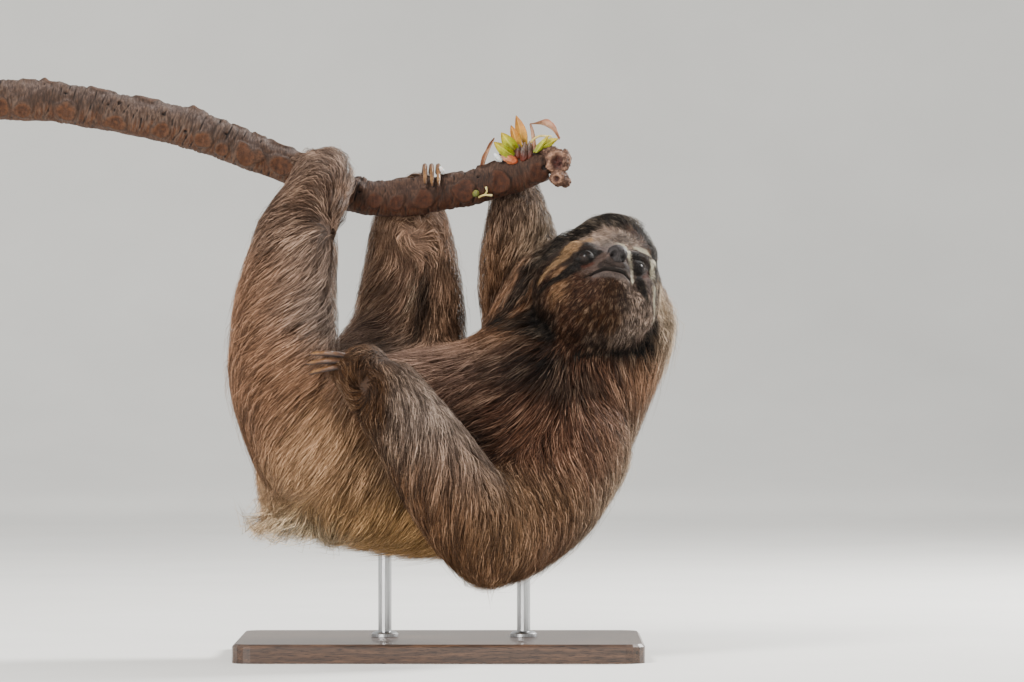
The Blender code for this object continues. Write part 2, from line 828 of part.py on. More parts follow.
def main():
    clear_scene()
    coat = material("coat", (0.20, 0.13, 0.08), 0.85)
    face = material("face", (0.16, 0.11, 0.08), 0.8)
    dark = material("eye", (0.015, 0.010, 0.008), 0.15)
    leather = material("nose_leather", (0.03, 0.025, 0.025), 0.5)
    horn = material("claw_horn", (0.42, 0.27, 0.14), 0.45)
    bark = material("bark", (0.16, 0.09, 0.06), 0.9)
    green = material("young_leaf", (0.45, 0.42, 0.05), 0.5)
    dry = material("dry_leaf", (0.50, 0.33, 0.20), 0.8)
    steel = material("steel", (0.55, 0.55, 0.56), 0.35, 1.0)
    board = material("base_board", (0.05, 0.045, 0.04), 0.5)

    stem = branch()
    for knob in tip_knobs():
        boolean(stem, knob, "UNION")
        drop(knob)
    parts = body_parts(whole_body())
    head = head_whole()
    eyes = {"eye_left": eye(EYE_PLACE[0]), "eye_right": eye(-EYE_PLACE[0])}
    ears = {"ear_left": ear(EAR_PLACE[0]), "ear_right": ear(-EAR_PLACE[0])}
    nose = nose_pad()
    nails = claws()
    rods = {f"stand_rod_{k}": stand_rod(*v) for k, v in ROD_PLACES.items()}

    for name in ("neck", "upper_arm_right"):
        parts[name] = largest(cleared_of(parts[name], head, *ears.values()))
    wedge = mouth_cut()
    boolean(head, wedge, "DIFFERENCE")
    drop(wedge)
    cleared_of(head, nose, *eyes.values(), *ears.values(), by=CLOSE_GAP)
    head = largest(head)
    for name in ("foot_left", "foot_right", "hand_right"):
        parts[name] = largest(cleared_of(parts[name], stem))
    for name, nail in nails.items():
        holder = name[len("claw_") : -2]
        parts[holder] = largest(cleared_of(parts[holder], nail, by=CLOSE_GAP))
    for rod in rods.values():
        parts["trunk"] = largest(cleared_of(parts["trunk"], rod, by=CLOSE_GAP))

    for name, obj in parts.items():
        finished(name, obj, coat)
    finished("head", head, face)
    finished("nose", nose, leather)
    for name, obj in ears.items():
        finished(name, obj, face)
    for name, obj in eyes.items():
        finished(name, obj, dark)
    for name, obj in nails.items():
        finished(name, obj, horn)
    finished("branch", stem, bark)
    for name, shape in LEAVES.items():
        blade = cleared_of(leaf(*shape), stem, *nails.values(), by=CLOSE_GAP)
        finished(name, largest(blade), dry if "dry" in name else green)
    finished("stand_base", stand_base(), board)
    for name, obj in rods.items():
        finished(name, obj, steel)


main()
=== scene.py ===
import math

import bmesh
import bpy
import numpy as np
from mathutils import Matrix, Vector, kdtree


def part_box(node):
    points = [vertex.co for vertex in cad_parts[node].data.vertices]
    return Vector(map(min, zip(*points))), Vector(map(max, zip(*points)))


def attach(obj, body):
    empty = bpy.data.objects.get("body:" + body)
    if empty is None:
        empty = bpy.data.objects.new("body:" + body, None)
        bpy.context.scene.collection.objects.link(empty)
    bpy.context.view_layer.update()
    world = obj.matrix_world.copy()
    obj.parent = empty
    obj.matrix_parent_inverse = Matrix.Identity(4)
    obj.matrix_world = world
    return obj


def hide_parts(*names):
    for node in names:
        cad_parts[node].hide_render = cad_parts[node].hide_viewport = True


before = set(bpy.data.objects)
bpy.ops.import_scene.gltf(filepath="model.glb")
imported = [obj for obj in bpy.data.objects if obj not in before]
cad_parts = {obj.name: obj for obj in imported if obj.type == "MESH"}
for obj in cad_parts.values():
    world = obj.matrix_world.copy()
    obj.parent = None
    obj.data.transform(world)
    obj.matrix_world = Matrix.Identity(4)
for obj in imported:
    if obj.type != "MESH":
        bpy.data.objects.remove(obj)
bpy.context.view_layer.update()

MM = 0.001

# ---------------------------------------------------------------- the skin
# The animal's hide, one piece from the nose to the tail with no seam, coloured
# like the coat over it and painted darker where hair grows, as shade under the
# coat. It lies a coat's depth inside the carved body, so each place first says
# how long its hair is and how it lies.

HEAD_TURN = (18, 32, 13)  # degrees it turns to its left, lifts, and rolls
EYES_IN_HEAD = Vector((0, 39.0, 2.8)) * MM  # middle of both eyes: left, forward, up


def middle_of(node):
    low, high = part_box(node)
    return (low + high) / 2


turn, lift, roll = (math.radians(a) for a in HEAD_TURN)
head_axes = (
    Matrix.Rotation(turn, 3, "Z")
    @ Matrix.Rotation(-lift, 3, "X")
    @ Matrix.Rotation(roll, 3, "Y")
    @ Matrix.Diagonal((1, -1, 1))  # its columns are left, forward and up
)
eyes_middle = (middle_of("eye_left") + middle_of("eye_right")) / 2
head_middle = eyes_middle - head_axes @ EYES_IN_HEAD


def in_head(places):
    """World places as millimetres left, forward and up of the head's middle."""
    return (places - np.array(head_middle)) @ np.array(head_axes) / MM


def out_of_head(places):
    return np.array(head_middle) + places @ np.array(head_axes).T * MM


def step_up(low, high, value):
    t = np.clip((value - low) / (high - low), 0, 1)
    return t * t * (3 - 2 * t)


def hump(value, middle, reach):
    """1 at the middle, dying away about one reach to each side of it."""
    return np.exp(-(((value - middle) / reach) ** 2))


def lengths(ways):
    return np.linalg.norm(ways, axis=-1)


def unit(ways, least=0.0):
    """Each way made one long; least keeps a way of no length from dividing by 0."""
    return ways / (lengths(ways)[..., None] + least)


def light_of(shade):
    """A colour given from 0 to 255 as the share of light it gives back."""
    value = np.array(shade, float) / 255
    return np.where(value < 0.04045, value / 12.92, ((value + 0.055) / 1.055) ** 2.4)


# The hair's colours in daylight, and how far its single hairs differ from them.
DYES = {
    "tan": ((156, 117, 90), 0.80),
    "grey": ((164, 148, 138), 0.80),
    "flank": ((205, 166, 128), 0.70),
    "gold": ((186, 148, 98), 0.75),
    "grizzle": ((118, 94, 80), 0.90),
    "brown": ((116, 82, 56), 1.00),
    "russet": ((106, 72, 54), 1.05),
    "rose": ((148, 120, 106), 0.75),
    "dark": ((50, 33, 25), 0.90),
    "black": ((14, 9, 7), 0.60),
    "pale": ((206, 186, 162), 0.90),
    "cap": ((27, 22, 19), 1.00),
    "cap_grey": ((37, 31, 29), 1.30),
    "fawn": ((170, 136, 112), 0.90),
    "olive": ((80, 52, 27), 0.95),
    "painted_rim_light": ((216, 200, 184), 0.90),
    "straw_and_highlight": ((255, 236, 200), 0.80),
    "muzzle": ((100, 83, 76), 0.30),
    "upper_lip_shade": ((44, 34, 30), 0.30),
    "bridge": ((122, 109, 106), 0.40),
    "cheek": ((74, 46, 30), 1.10),
    "amber": ((61, 34, 9), 0.95),
    "umber": ((124, 94, 68), 0.95),
    "strand": ((148, 112, 80), 0.85),
    "snow": ((128, 112, 102), 1.70),
    "stripe": ((20, 13, 9), 0.40),
    "brow": ((170, 150, 136), 0.60),
    "brow_grey": ((126, 114, 106), 0.70),
    "brow_gold": ((178, 144, 106), 0.60),
    "brow_white": ((240, 236, 214), 0.30),
    "lip": ((86, 75, 71), 0.25),
    "flush": ((104, 58, 42), 0.20),
    "lid": ((54, 43, 38), 0.20),
}
PALE_HAIR = light_of((226, 206, 182))  # what the lightest hairs bleach towards

# How the coat lies: (x, y, z) in millimetres; the way it is combed, as degrees
# below the level line towards the tail seen from the animal's left; the hair's
# length; how wavy it is; and its dye.
COAT = [
    ((-98, -40, 368), 8, 14, 0.2, "grizzle"),  # left foot, over the branch
    ((-112, -44, 350), 28, 15, 0.2, "grizzle"),
    ((-84, -40, 368), 8, 13, 0.2, "grizzle"),
    ((-72, -50, 352), 285, 14, 0.2, "grizzle"),
    ((-92, -58, 345), 15, 15, 0.2, "grizzle"),
    ((-78, -58, 333), 320, 13, 0.2, "brown"),
    ((-88, 30, 355), 90, 14, 0.2, "brown"),
    ((-92, -12, 374), 5, 13, 0.1, "grizzle"),
    ((-76, -12, 370), 335, 14, 0.1, "grizzle"),
    ((-66, -25, 352), 275, 15, 0.1, "grey"),
    ((-111, -80, 317), 40, 20, 0.2, "grizzle"),  # left shank
    ((-127, -85, 293), 45, 26, 0.1, "tan"),
    ((-100, -80, 290), 42, 24, 0.1, "tan"),
    ((-80, -75, 303), 62, 18, 0.2, "grey"),
    ((-82, -70, 271), 20, 20, 0.2, "grey"),
    ((-105, 0, 290), 60, 22, 0.3, "brown"),
    ((-117, -90, 260), 32, 30, 0.1, "tan"),  # left thigh
    ((-147, -70, 264), 46, 30, 0.1, "tan"),
    ((-137, -80, 224), 42, 32, 0.1, "tan"),
    ((-97, -90, 224), 30, 28, 0.2, "tan"),
    ((-141, -70, 184), 62, 32, 0.1, "tan"),
    ((-111, -85, 184), 50, 34, 0.1, "tan"),
    ((-117, -75, 148), 66, 34, 0.1, "flank"),
    ((-87, -80, 164), 55, 34, 0.1, "flank"),
    ((-58, -72, 144), 54, 34, 0.1, "flank"),  # left flank
    ((-87, -65, 115), 66, 32, 0.2, "gold"),
    ((-48, -70, 115), 64, 32, 0.2, "gold"),
    ((-18, -60, 88), 60, 30, 0.2, "gold"),
    ((20, -60, 90), 62, 28, 0.2, "gold"),
    ((-127, -30, 115), 50, 28, 0.3, "flank"),  # rump and tail
    ((-130, 0, 112), 14, 28, 0.5, "flank"),
    ((-118, -5, 98), 48, 24, 0.5, "straw_and_highlight"),
    ((-100, -15, 94), 74, 26, 0.5, "straw_and_highlight"),
    ((-84, -20, 90), 78, 24, 0.4, "straw_and_highlight"),
    ((-135, 0, 150), 80, 28, 0.3, "flank"),
    ((-20, -125, 204), 108, 16, 0.3, "grey"),  # left forearm
    ((-4, -130, 190), 98, 20, 0.3, "grey"),
    ((-28, -135, 164), 84, 24, 0.4, "olive"),
    ((6, -135, 145), 88, 27, 0.2, "brown"),
    ((-18, -132, 135), 84, 27, 0.3, "brown"),
    ((-8, -110, 95), 78, 27, 0.2, "brown"),
    ((26, -118, 85), 90, 27, 0.2, "brown"),
    ((40, -112, 66), 95, 24, 0.2, "brown"),
    ((-25, -75, 160), 80, 20, 0.3, "dark"),
    ((-66, -118, 196), 250, 14, 0.6, "olive"),  # left hand
    ((-60, -105, 225), 10, 14, 0.4, "olive"),
    ((-40, -125, 200), 120, 15, 0.5, "olive"),
    ((-68, -100, 208), 4, 17, 0.4, "olive"),
    ((-12, -20, 230), 8, 26, 0.2, "rose"),  # belly
    ((-50, -10, 225), 12, 24, 0.3, "grey"),
    ((2, -60, 212), 50, 26, 0.2, "rose"),
    ((2, -10, 228), 15, 26, 0.2, "rose"),
    ((28, -35, 222), 28, 26, 0.2, "rose"),
    ((11, -60, 202), 36, 28, 0.2, "russet"),
    ((53, -70, 194), 30, 28, 0.2, "russet"),
    ((36, -72, 180), 20, 24, 0.5, "dark"),
    ((-30, -65, 200), 36, 24, 0.3, "brown"),
    ((62, -50, 219), 35, 24, 0.2, "dark"),  # breast
    ((79, -72, 185), 62, 30, 0.1, "russet"),
    ((96, -70, 185), 92, 32, 0.1, "russet"),
    ((113, -60, 177), 120, 32, 0.1, "russet"),
    ((130, -45, 194), 124, 28, 0.2, "russet"),
    ((142, -35, 172), 114, 30, 0.2, "pale"),
    ((138, -50, 142), 122, 28, 0.2, "pale"),
    ((94, -70, 216), 84, 20, 0.2, "dark"),
    ((121, -62, 216), 112, 20, 0.2, "russet"),
    ((96, 0, 312), 30, 12, 0.2, "cap"),  # crown
    ((119, 0, 326), 5, 10, 0.2, "cap"),
    ((141, -10, 318), 175, 10, 0.3, "cap_grey"),
    ((50, -20, 253), 60, 24, 0.2, "brown"),  # neck
    ((62, 0, 287), 55, 24, 0.2, "brown"),
    ((155, -20, 219), 96, 28, 0.2, "tan"),
    ((166, -10, 262), 97, 24, 0.3, "pale"),
    ((150, 20, 290), 95, 22, 0.3, "pale"),
    ((100, 30, 290), 80, 24, 0.3, "brown"),
    ((28, -120, 172), 140, 18, 0.2, "grey"),  # left upper arm
    ((53, -115, 150), 128, 28, 0.1, "umber"),
    ((74, -105, 140), 124, 32, 0.1, "umber"),
    ((40, -125, 126), 100, 30, 0.1, "umber"),
    ((14, -130, 165), 92, 22, 0.2, "grizzle"),
    ((87, -90, 108), 114, 32, 0.1, "russet"),
    ((62, -100, 91), 98, 32, 0.1, "umber"),
    ((98, -88, 134), 122, 32, 0.1, "umber"),
    ((118, -62, 117), 118, 28, 0.2, "pale"),
    ((90, -70, 84), 104, 28, 0.2, "tan"),
    ((104, -85, 160), 122, 32, 0.1, "russet"),
    ((-48, 15, 292), 26, 22, 0.5, "fawn"),  # right leg, front
    ((-56, 20, 262), 30, 22, 0.4, "fawn"),
    ((-44, 10, 238), 10, 22, 0.4, "grey"),
    ((-24, 5, 325), 150, 12, 0.6, "fawn"),
    ((-44, 8, 316), 62, 14, 0.6, "fawn"),
    ((-20, 8, 284), 78, 20, 0.5, "rose"),
    ((-8, 18, 268), 80, 20, 0.7, "umber"),
    ((6, 18, 290), 108, 22, 0.6, "fawn"),
    ((10, 15, 250), 130, 22, 0.7, "fawn"),
    ((-20, 0, 350), 150, 9, 0.4, "grizzle"),
    ((58, 20, 304), 95, 16, 0.8, "brown"),  # right arm, front
    ((38, 20, 285), 80, 18, 0.8, "brown"),
    ((82, 20, 313), 100, 14, 0.8, "pale"),
    ((62, 20, 270), 92, 18, 0.8, "russet"),
    ((55, 5, 345), 95, 9, 0.5, "grizzle"),
    ((0, 0, 72), 25, 28, 0.2, "gold"),  # back
    ((60, 0, 90), 30, 28, 0.2, "gold"),
    ((-60, 0, 78), 25, 28, 0.2, "gold"),
    ((110, 0, 130), 70, 30, 0.2, "tan"),
    ((0, 75, 140), 60, 30, 0.2, "flank"),  # far side
    ((60, 75, 150), 80, 30, 0.2, "flank"),
    ((120, 60, 190), 100, 30, 0.2, "tan"),
    ((-90, 80, 160), 60, 30, 0.2, "tan"),
    ((-60, 100, 215), 50, 30, 0.2, "tan"),
    ((-22, 85, 290), 70, 24, 0.3, "tan"),
    ((90, 95, 200), 90, 28, 0.3, "brown"),
    ((62, 95, 250), 88, 24, 0.3, "tan"),
    ((58, 60, 310), 92, 18, 0.4, "grizzle"),
]
MARK_REACH = 17.0  # millimetres over which a place's marks blend
LONGER = 1.4  # the hair is this much longer than the lengths above
marks = np.array([place for place, *_ in COAT], float)
mark_angle = np.radians([m[1] for m in COAT])
mark_lie = np.stack(
    [-np.cos(mark_angle), np.zeros(len(COAT)), -np.sin(mark_angle)], axis=1
)
mark_length = LONGER * np.array([m[2] for m in COAT], float)
mark_wave = np.array([m[3] for m in COAT], float)


def dyes_of(names):
    """The dyes' colours, and how far their single hairs differ."""
    return (
        np.array([light_of(DYES[name][0]) for name in names]),
        np.array([DYES[name][1] for name in names]),
    )


mark_dye, mark_contrast = dyes_of([m[4] for m in COAT])


def shares_of(places, spots, reach):
    """How far each place takes after each of the spots; both in millimetres."""
    away = (places**2).sum(axis=1)[:, None] + (spots**2).sum(axis=1) - 2 * places @ spots.T
    away -= away.min(axis=1, keepdims=True)
    shares = np.exp(-away / (2 * reach**2))
    return shares / shares.sum(axis=1, keepdims=True)


def mark_shares(places):
    return shares_of(places / MM, marks, MARK_REACH)


HEAD_BALL = np.array([0, 2, 4])  # middle of the ball that holds the head, mm
HEAD_HALVES = np.array([46, 50, 52])  # its half width, length and height


def on_the_head(places):
    """1 on the head and 0 past its edge with the neck."""
    away = (in_head(places) - HEAD_BALL) / HEAD_HALVES
    return 1 - step_up(0.98, 1.14, lengths(away))


NOSE_TIP = np.array([1.0, 53, 3])
# The head's hair by the nose, and what is added over the cheeks, towards the neck
# and on the crown, mm.
NOSE_HAIR, CHEEK_MORE, NECK_MORE, CROWN_MORE = 1.5, 2.4, 6.6, 4.0
DEPTH_OF_LENGTH = 0.22  # how deep the coat is, as a share of the hair's length
DEPTH_LIMITS = (0.5, 8.5)  # the least and most that it is, mm


def hair_length(places):
    """In metres. The head's hair grows longer away from the nose."""
    body = mark_shares(places) @ mark_length
    head = in_head(places)
    away = lengths(head - NOSE_TIP)
    grown = NOSE_HAIR + CHEEK_MORE * step_up(14, 30, away) + NECK_MORE * step_up(30, 64, away)
    grown += CROWN_MORE * step_up(32, 48, head[:, 2]) * step_up(20, 44, away)
    share = on_the_head(places)
    return (body * (1 - share) + grown * share) * MM


def coat_depth(places):
    least, most = DEPTH_LIMITS
    return np.clip(DEPTH_OF_LENGTH * hair_length(places), least * MM, most * MM)


# The head's own colours: left, forward and up of its middle in millimetres.
HEAD_SHADES = {
    "cap": [
        (0, 30, 44), (-20, 18, 46), (-38, 4, 38), (-46, -2, 22), (-36, -15, 36), (-43, -35, 8),
        (0, 5, 54), (-20, -10, 50), (0, -25, 48),
    ],
    "cap_grey": [(22, 22, 42), (33, 18, 32), (-41, -24, 22), (25, -2, 48)],
    "cheek": [
        (24, 29, 31), (-14, 40, -22), (-24, 36, -19), (-43, 18, -18), (-30, 25, -33),
        (-22, 12, -44), (8, -3, -49), (-6, -5, -50), (-20, -7, -50),
    ],
    "grizzle": [(43, 2, 24), (43, 4, -30)],
    "pale": [(35, -25, 35), (20, -42, 20), (46, -15, 0), (45, 8, 2)],
    "brown": [(-10, -42, 30), (-40, -25, 20)],
    "snow": [
        (46, 5, -16), (21, 38, -17), (21, 35, -26), (22, 28, -31), (30, 25, -27), (22, 18, -36),
        (36, 14, -26),
    ],
    "dark": [
        (-49, -4, 4), (-44, -6, -14), (-44, 6, -12), (0, 12, -48), (22, 10, -45), (12, 39, -25),
        (34, 10, -34), (-38, 10, -32), (23, -3, -46), (31, -2, -40),
    ],
    "black": [(-37, -15, -19), (-32, -12, -28), (41, -1, -20)],
    "amber": [(0, 44, -21), (-10, 32, -38), (6, 32, -38)],
    "strand": [(-35, 30, -20)],
    "muzzle": [(0, 50, 5), (-10, 46, 0), (10, 46, 0), (-14, 43, -6), (15, 42, -7)],
    "bridge": [(0, 45, 17)],
    "brow": [(0, 38, 27)],
    "lid": [(-24, 43, 9), (24, 42, 8)],
}
SHADE_REACH = 5.0
head_spots = np.array([place for spots in HEAD_SHADES.values() for place in spots], float)
spot_dye, spot_contrast = dyes_of([dye for dye, spots in HEAD_SHADES.items() for _ in spots])

# Strokes drawn on the face, in order: dye, strength, and the line as points
# left, forward and up with the stroke's half width there, all in millimetres.
FACE_STROKES = [
    ("black", 0.85, [(12, 28, 45, 3), (22, 26, 42, 5), (29, 24, 35, 5.5), (36, 20, 26, 5),
                     (39, 20, 15, 3)]),
    ("brow", 1.0, [(-16, 26, 30, 4), (-9, 29, 32, 5.5), (-2, 31, 33, 5.5), (6, 33, 31, 5),
                   (14, 34, 28, 4), (22, 31, 25, 2.5)]),
    ("brow_gold", 0.95, [(-43, 9, -2, 1.0), (-41, 19, 0.4, 1.7), (-35.8, 25, 4.7, 2.8),
                         (-31.9, 30.6, 9.2, 3.4), (-27.8, 39, 11.8, 3.8), (-21, 36, 19, 4.2),
                         (-14, 32, 27, 4)]),
    ("brow_grey", 0.85, [(12, 34, 29, 4), (5, 34, 29, 5), (0, 36, 24, 5), (-5, 38, 18, 4)]),
    ("bridge", 0.7, [(0, 44, 17, 5), (0, 47, 12, 6)]),
    ("stripe", 1.0, [(-9, 42, 10, 2.2), (-15, 42, 7, 4.5), (-21, 43, 2, 6.5),
                     (-27, 42, -6, 5.2), (-33, 38, -11, 3.6), (-39, 31, -12, 2.8),
                     (-44, 22, -12, 2.2), (-48, 9, -11, 1.6)]),
    ("stripe", 1.0, [(16, 41, 13.5, 2.2), (19, 42, 8, 3.4), (20, 43.8, -1.7, 3.8),
                     (20.3, 41, -9.3, 3.2), (25, 36.8, -15.5, 2.6), (28.5, 33, -17.5, 1.2)]),
    ("bridge", 0.8, [(27, 38, -7, 1.6), (30, 34, -12, 1.8), (34.5, 27, -16, 1.4)]),
    ("brow_white", 1.0, [(16.3, 33.8, 23.6, 1.3), (23, 31.4, 24.8, 1.9), (27.8, 28.6, 25, 1.9),
                         (31.2, 25.7, 25, 1.9), (31.6, 30, 18, 2.0), (29.4, 38.2, 12.7, 1.8),
                         (31.2, 35.6, 10, 1.7), (33.6, 29, 9, 1.7), (33.3, 32.5, -6.5, 1.7),
                         (35.2, 27, -12.5, 1.5), (37.3, 18.5, -14, 1.2), (39.5, 9, -14, 0.7)]),
    ("black", 0.95, [(38.5, 22, 12, 1.8), (38.2, 24, 5, 1.8), (38.4, 23.5, -3, 1.8),
                     (41, 14, -6.5, 1.9), (43.5, 5, -8, 2.1), (44.5, -1, -13, 2.3),
                     (44, -6, -20, 2.4)]),
    ("lid", 0.6, [(-25, 41, 3, 1.6), (-20, 43, -1.5, 1.8)]),
    ("flush", 0.7, [(-20, 41, -6.5, 1.3), (-14.5, 42, -2.5, 1.4)]),
    ("flush", 0.6, [(27.5, 40, 2.5, 1.3), (26.5, 40.5, -3, 1.8), (23.5, 41, -6, 1.2)]),
    # The pale line down the muzzle's right side: pale hair, painted brighter as a highlight where light
    # from behind catches its edge.
    ("brow_white", 0.9, [(2, 36, 22.7, 1.0), (7, 35.5, 23, 1.4), (10.5, 38, 17, 1.4),
                         (12.3, 41, 10, 1.3), (13.6, 42, 2.8, 1.3), (14, 43.4, -7.5, 1.3),
                         (15, 42, -11.5, 1.0)]),
    # Painted shadow under the nose, over the upper lip's own dark skin.
    ("upper_lip_shade", 0.85, [(-10, 48, -7, 2.5), (-4, 51, -5, 4), (2, 53, -5, 4.5),
                         (8, 50, -6, 4)]),
    ("lip", 0.95, [(-14, 42, -14, 1.2), (-9, 46, -13.4, 1.7), (0, 48, -13.2, 2.0),
                   (8, 46, -13.6, 2.0), (13, 42, -15, 1.8)]),
    ("snow", 0.9, [(6, 46, -15.5, 1.2), (11, 44, -15.5, 2.4), (15, 40, -20, 2.6)]),
    # The line between the lips, painted dark as shade in its crease.
    ("stripe", 0.9, [(-19, 39, -13.5, 0.9), (-13, 45, -11.5, 1.1), (-7, 49, -10, 1.3),
                     (0, 53, -10.4, 1.5), (7, 49, -10, 1.3), (13.5, 44, -12, 0.9)]),
    # Painted shadow along the chin's underside.
    ("black", 1.0, [(-11, -7, -46, 1.2), (2, 1, -45.7, 2.0), (16.8, 2.8, -42.4, 3.0),
                    (32.3, -6, -31.8, 3.2), (41.5, -7.5, -21.7, 2.2)]),
]


# Shades drawn on the body in the same way: x, y, z and the stroke's half width,
# which reaches nearly three times as far from front to back as it does sideways.
BODY_STROKES = [
    ("tan", 0.8, [(93, -7, 312, 2), (84, -10, 305, 3), (75, -5, 300, 4), (67, 0, 295, 5),
                  (63, -4, 286, 5), (59, -3, 280, 6), (55, -3, 272, 6), (50, -1, 263, 6)]),
    # Painted shade on the far arm just behind the cape's outline.
    ("dark", 0.65, [(81, 22, 315, 3), (71, 8, 308, 3.5), (62, 9, 303, 4), (54, 14, 293, 4),
                    (47, 20, 284, 4), (41, 28, 274, 4), (38, 24, 262, 4)]),
    ("cap_grey", 0.9, [(93, -10, 309, 4), (82, -3, 300, 4.5), (74, 1, 292, 4.5), (67, 0, 282, 5),
                       (61, 1, 273, 5), (57, 2, 263, 5), (56, 0, 254, 5)]),
    # Pale hair along the cape's outline, painted lighter as a highlight where light from behind rims it.
    ("fawn", 0.8, [(77, 9, 305, 1.5), (67, 8, 299, 1.9), (60, 12, 289, 2.1), (54, 15, 280, 2.2),
                   (48, 23, 271, 2.2), (44, 28, 263, 2.2), (43, 14, 253, 1.8)]),
    # Painted shadow on the neck below the cape, left of the cheek.
    ("black", 0.85, [(48, 4, 256, 7), (60, -4, 255, 9), (70, -18, 251, 9), (82, -36, 243, 7)]),
    # Painted shadow in the line under the chin.
    ("black", 1.0, [(68, -44, 227, 1.5), (81, -46, 226, 2.6), (96, -49, 227, 3.6), (116, -56, 230, 4.2),
                    (131, -51, 231, 3.6), (144, -35, 232, 3.4), (154, -25, 238, 2.4)]),
    ("olive", 0.9, [(-64, -112, 220, 9), (-53, -122, 205, 12), (-44, -124, 190, 10)]),
    ("rose", 0.7, [(-62, 20, 276, 8), (-54, 30, 252, 9), (-41, 28, 240, 8), (-33, 22, 262, 6)]),
    # Painted shadow on the breast under the chin.
    ("black", 0.6, [(73, -51, 216, 6), (93, -52, 211, 9), (110, -50, 212, 7)]),
    # Painted shade on the belly where the arm lies over it.
    ("dark", 0.6, [(12, -58, 190, 4), (23, -58, 181, 6), (41, -61, 170, 6), (55, -62, 161, 4)]),
    # Painted highlight: pale along the breast's and upper arm's right edge, as light from behind rims
    # the fur.
    ("painted_rim_light", 0.65, [(152, -14, 215, 4), (149, -14, 201, 5), (140, -20, 178, 5.5),
                     (131, -40, 150, 6), (118, -56, 127, 6), (107, -60, 109, 6),
                     (94, -62, 92, 5)]),
    # Painted shade in the fold down the far leg.
    ("black", 0.8, [(-10, 12, 296, 3), (-11, 12, 282, 5), (-11, 14, 266, 6), (-14, 14, 248, 5)]),
    ("pale", 0.7, [(-18, 10, 290, 2), (-17, 10, 280, 3), (-20, 10, 266, 3), (-26, 12, 252, 2)]),
    # Painted highlight along the tail's fringe, as light from behind.
    ("straw_and_highlight", 0.9, [(-116, -18, 100, 4), (-100, -25, 92, 5), (-84, -30, 88, 4)]),
    # Painted shade in the fold of the near foot.
    ("dark", 0.5, [(-92, -58, 322, 3), (-80, -58, 327, 4), (-70, -48, 328, 3)]),
    ("dark", 0.6, [(-48, -112, 232, 3), (-30, -118, 228, 3)]),
]
SQUASH = np.array([1, 0.35, 1])
# Lines the body's hair is combed along, in the same way, and how far each pulls.
BODY_COMBS = [
    (11, [(-76, -50, 331), (-67, -35, 348), (-69, -25, 360), (-76, -20, 369),
          (-89, -24, 369), (-100, -35, 361), (-110, -45, 350)]),
]
# Lines the head's hair is combed along, left, forward and up of the head's middle, and
# how far each one's pull reaches.
FACE_COMBS = [
    (8, [(-3, 34, 29), (-11, 35, 25), (-22, 39, 18), (-30, 36, 12), (-36, 30, 7),
         (-41, 24, 0), (-46, 13, -6), (-48, 6, -9), (-50, -10, -12)]),
    (7, [(2, 34, 29), (14, 35, 25), (22, 33, 22), (27, 36, 16), (31, 36, 11), (34.5, 28, 5),
         (35.8, 26.4, -3.2), (37, 24, -13), (38, 18, -20), (40, 8, -26)]),
    (6, [(-9, 42, 10), (-15, 42, 7), (-21, 43, 2), (-27, 42, -6), (-33, 38, -11),
         (-39, 31, -13), (-44, 22, -14), (-48, 9, -12)]),
    (6, [(28, 20, 36), (36, 26, 22), (41, 20, 8), (43, 14, -14), (44, 4, -24)]),
    (12, [(16, 25, 44), (0, 20, 50), (-18, 12.5, 47.6), (-27, 1, 47), (-35, -3, 39),
          (-47, -20, 36), (-53, -30, 22), (-58, -41, 7), (-60, -50, -6)]),
]


def on_ball(points):
    """Points of the head moved straight out onto its ball."""
    away = points - HEAD_BALL
    return HEAD_HALVES[0] * unit(away)


def nearest_on(spots, points, halves):
    """How many of its half widths each spot is from a line, and the line's way."""
    nearest = np.full(len(spots), 99.0)
    ways = np.zeros((len(spots), 3))
    for a, b, half_a, half_b in zip(points, points[1:], halves, halves[1:]):
        t = np.clip((spots - a) @ (b - a) / ((b - a) @ (b - a)), 0, 1)
        away = lengths(spots - a - t[:, None] * (b - a))
        away /= half_a + (half_b - half_a) * t
        closer = away < nearest
        nearest[closer] = away[closer]
        ways[closer] = unit(b - a)
    return nearest, ways


def squashed(points):
    return points * SQUASH


def draw(strokes, places, laid, dye, contrast):
    """Draws strokes over the dye; laid moves places and strokes to where they meet."""
    spots = laid(places)
    for name, strength, line in strokes:
        line = np.array(line, float)
        away, _ = nearest_on(spots, laid(line[:, :3]), line[:, 3])
        mask = strength * (1 - step_up(0.72, 1.3, away))
        dye += (light_of(DYES[name][0]) - dye) * mask[:, None]
        contrast += (DYES[name][1] - contrast) * mask


def shades(places):
    """The coat's dye at each place, and how far its single hairs differ."""
    shares = mark_shares(places)
    dye, contrast = shares @ mark_dye, shares @ mark_contrast
    draw(BODY_STROKES, places / MM, squashed, dye, contrast)
    share = on_the_head(places)
    near = share > 0.001
    head = in_head(places[near])
    shares = shares_of(head, head_spots, SHADE_REACH)
    head_dye, head_contrast = shares @ spot_dye, shares @ spot_contrast
    draw(FACE_STROKES, head, on_ball, head_dye, head_contrast)
    share = share[near]
    dye[near] += (head_dye - dye[near]) * share[:, None]
    contrast[near] += (head_contrast - contrast[near]) * share
    return dye, contrast


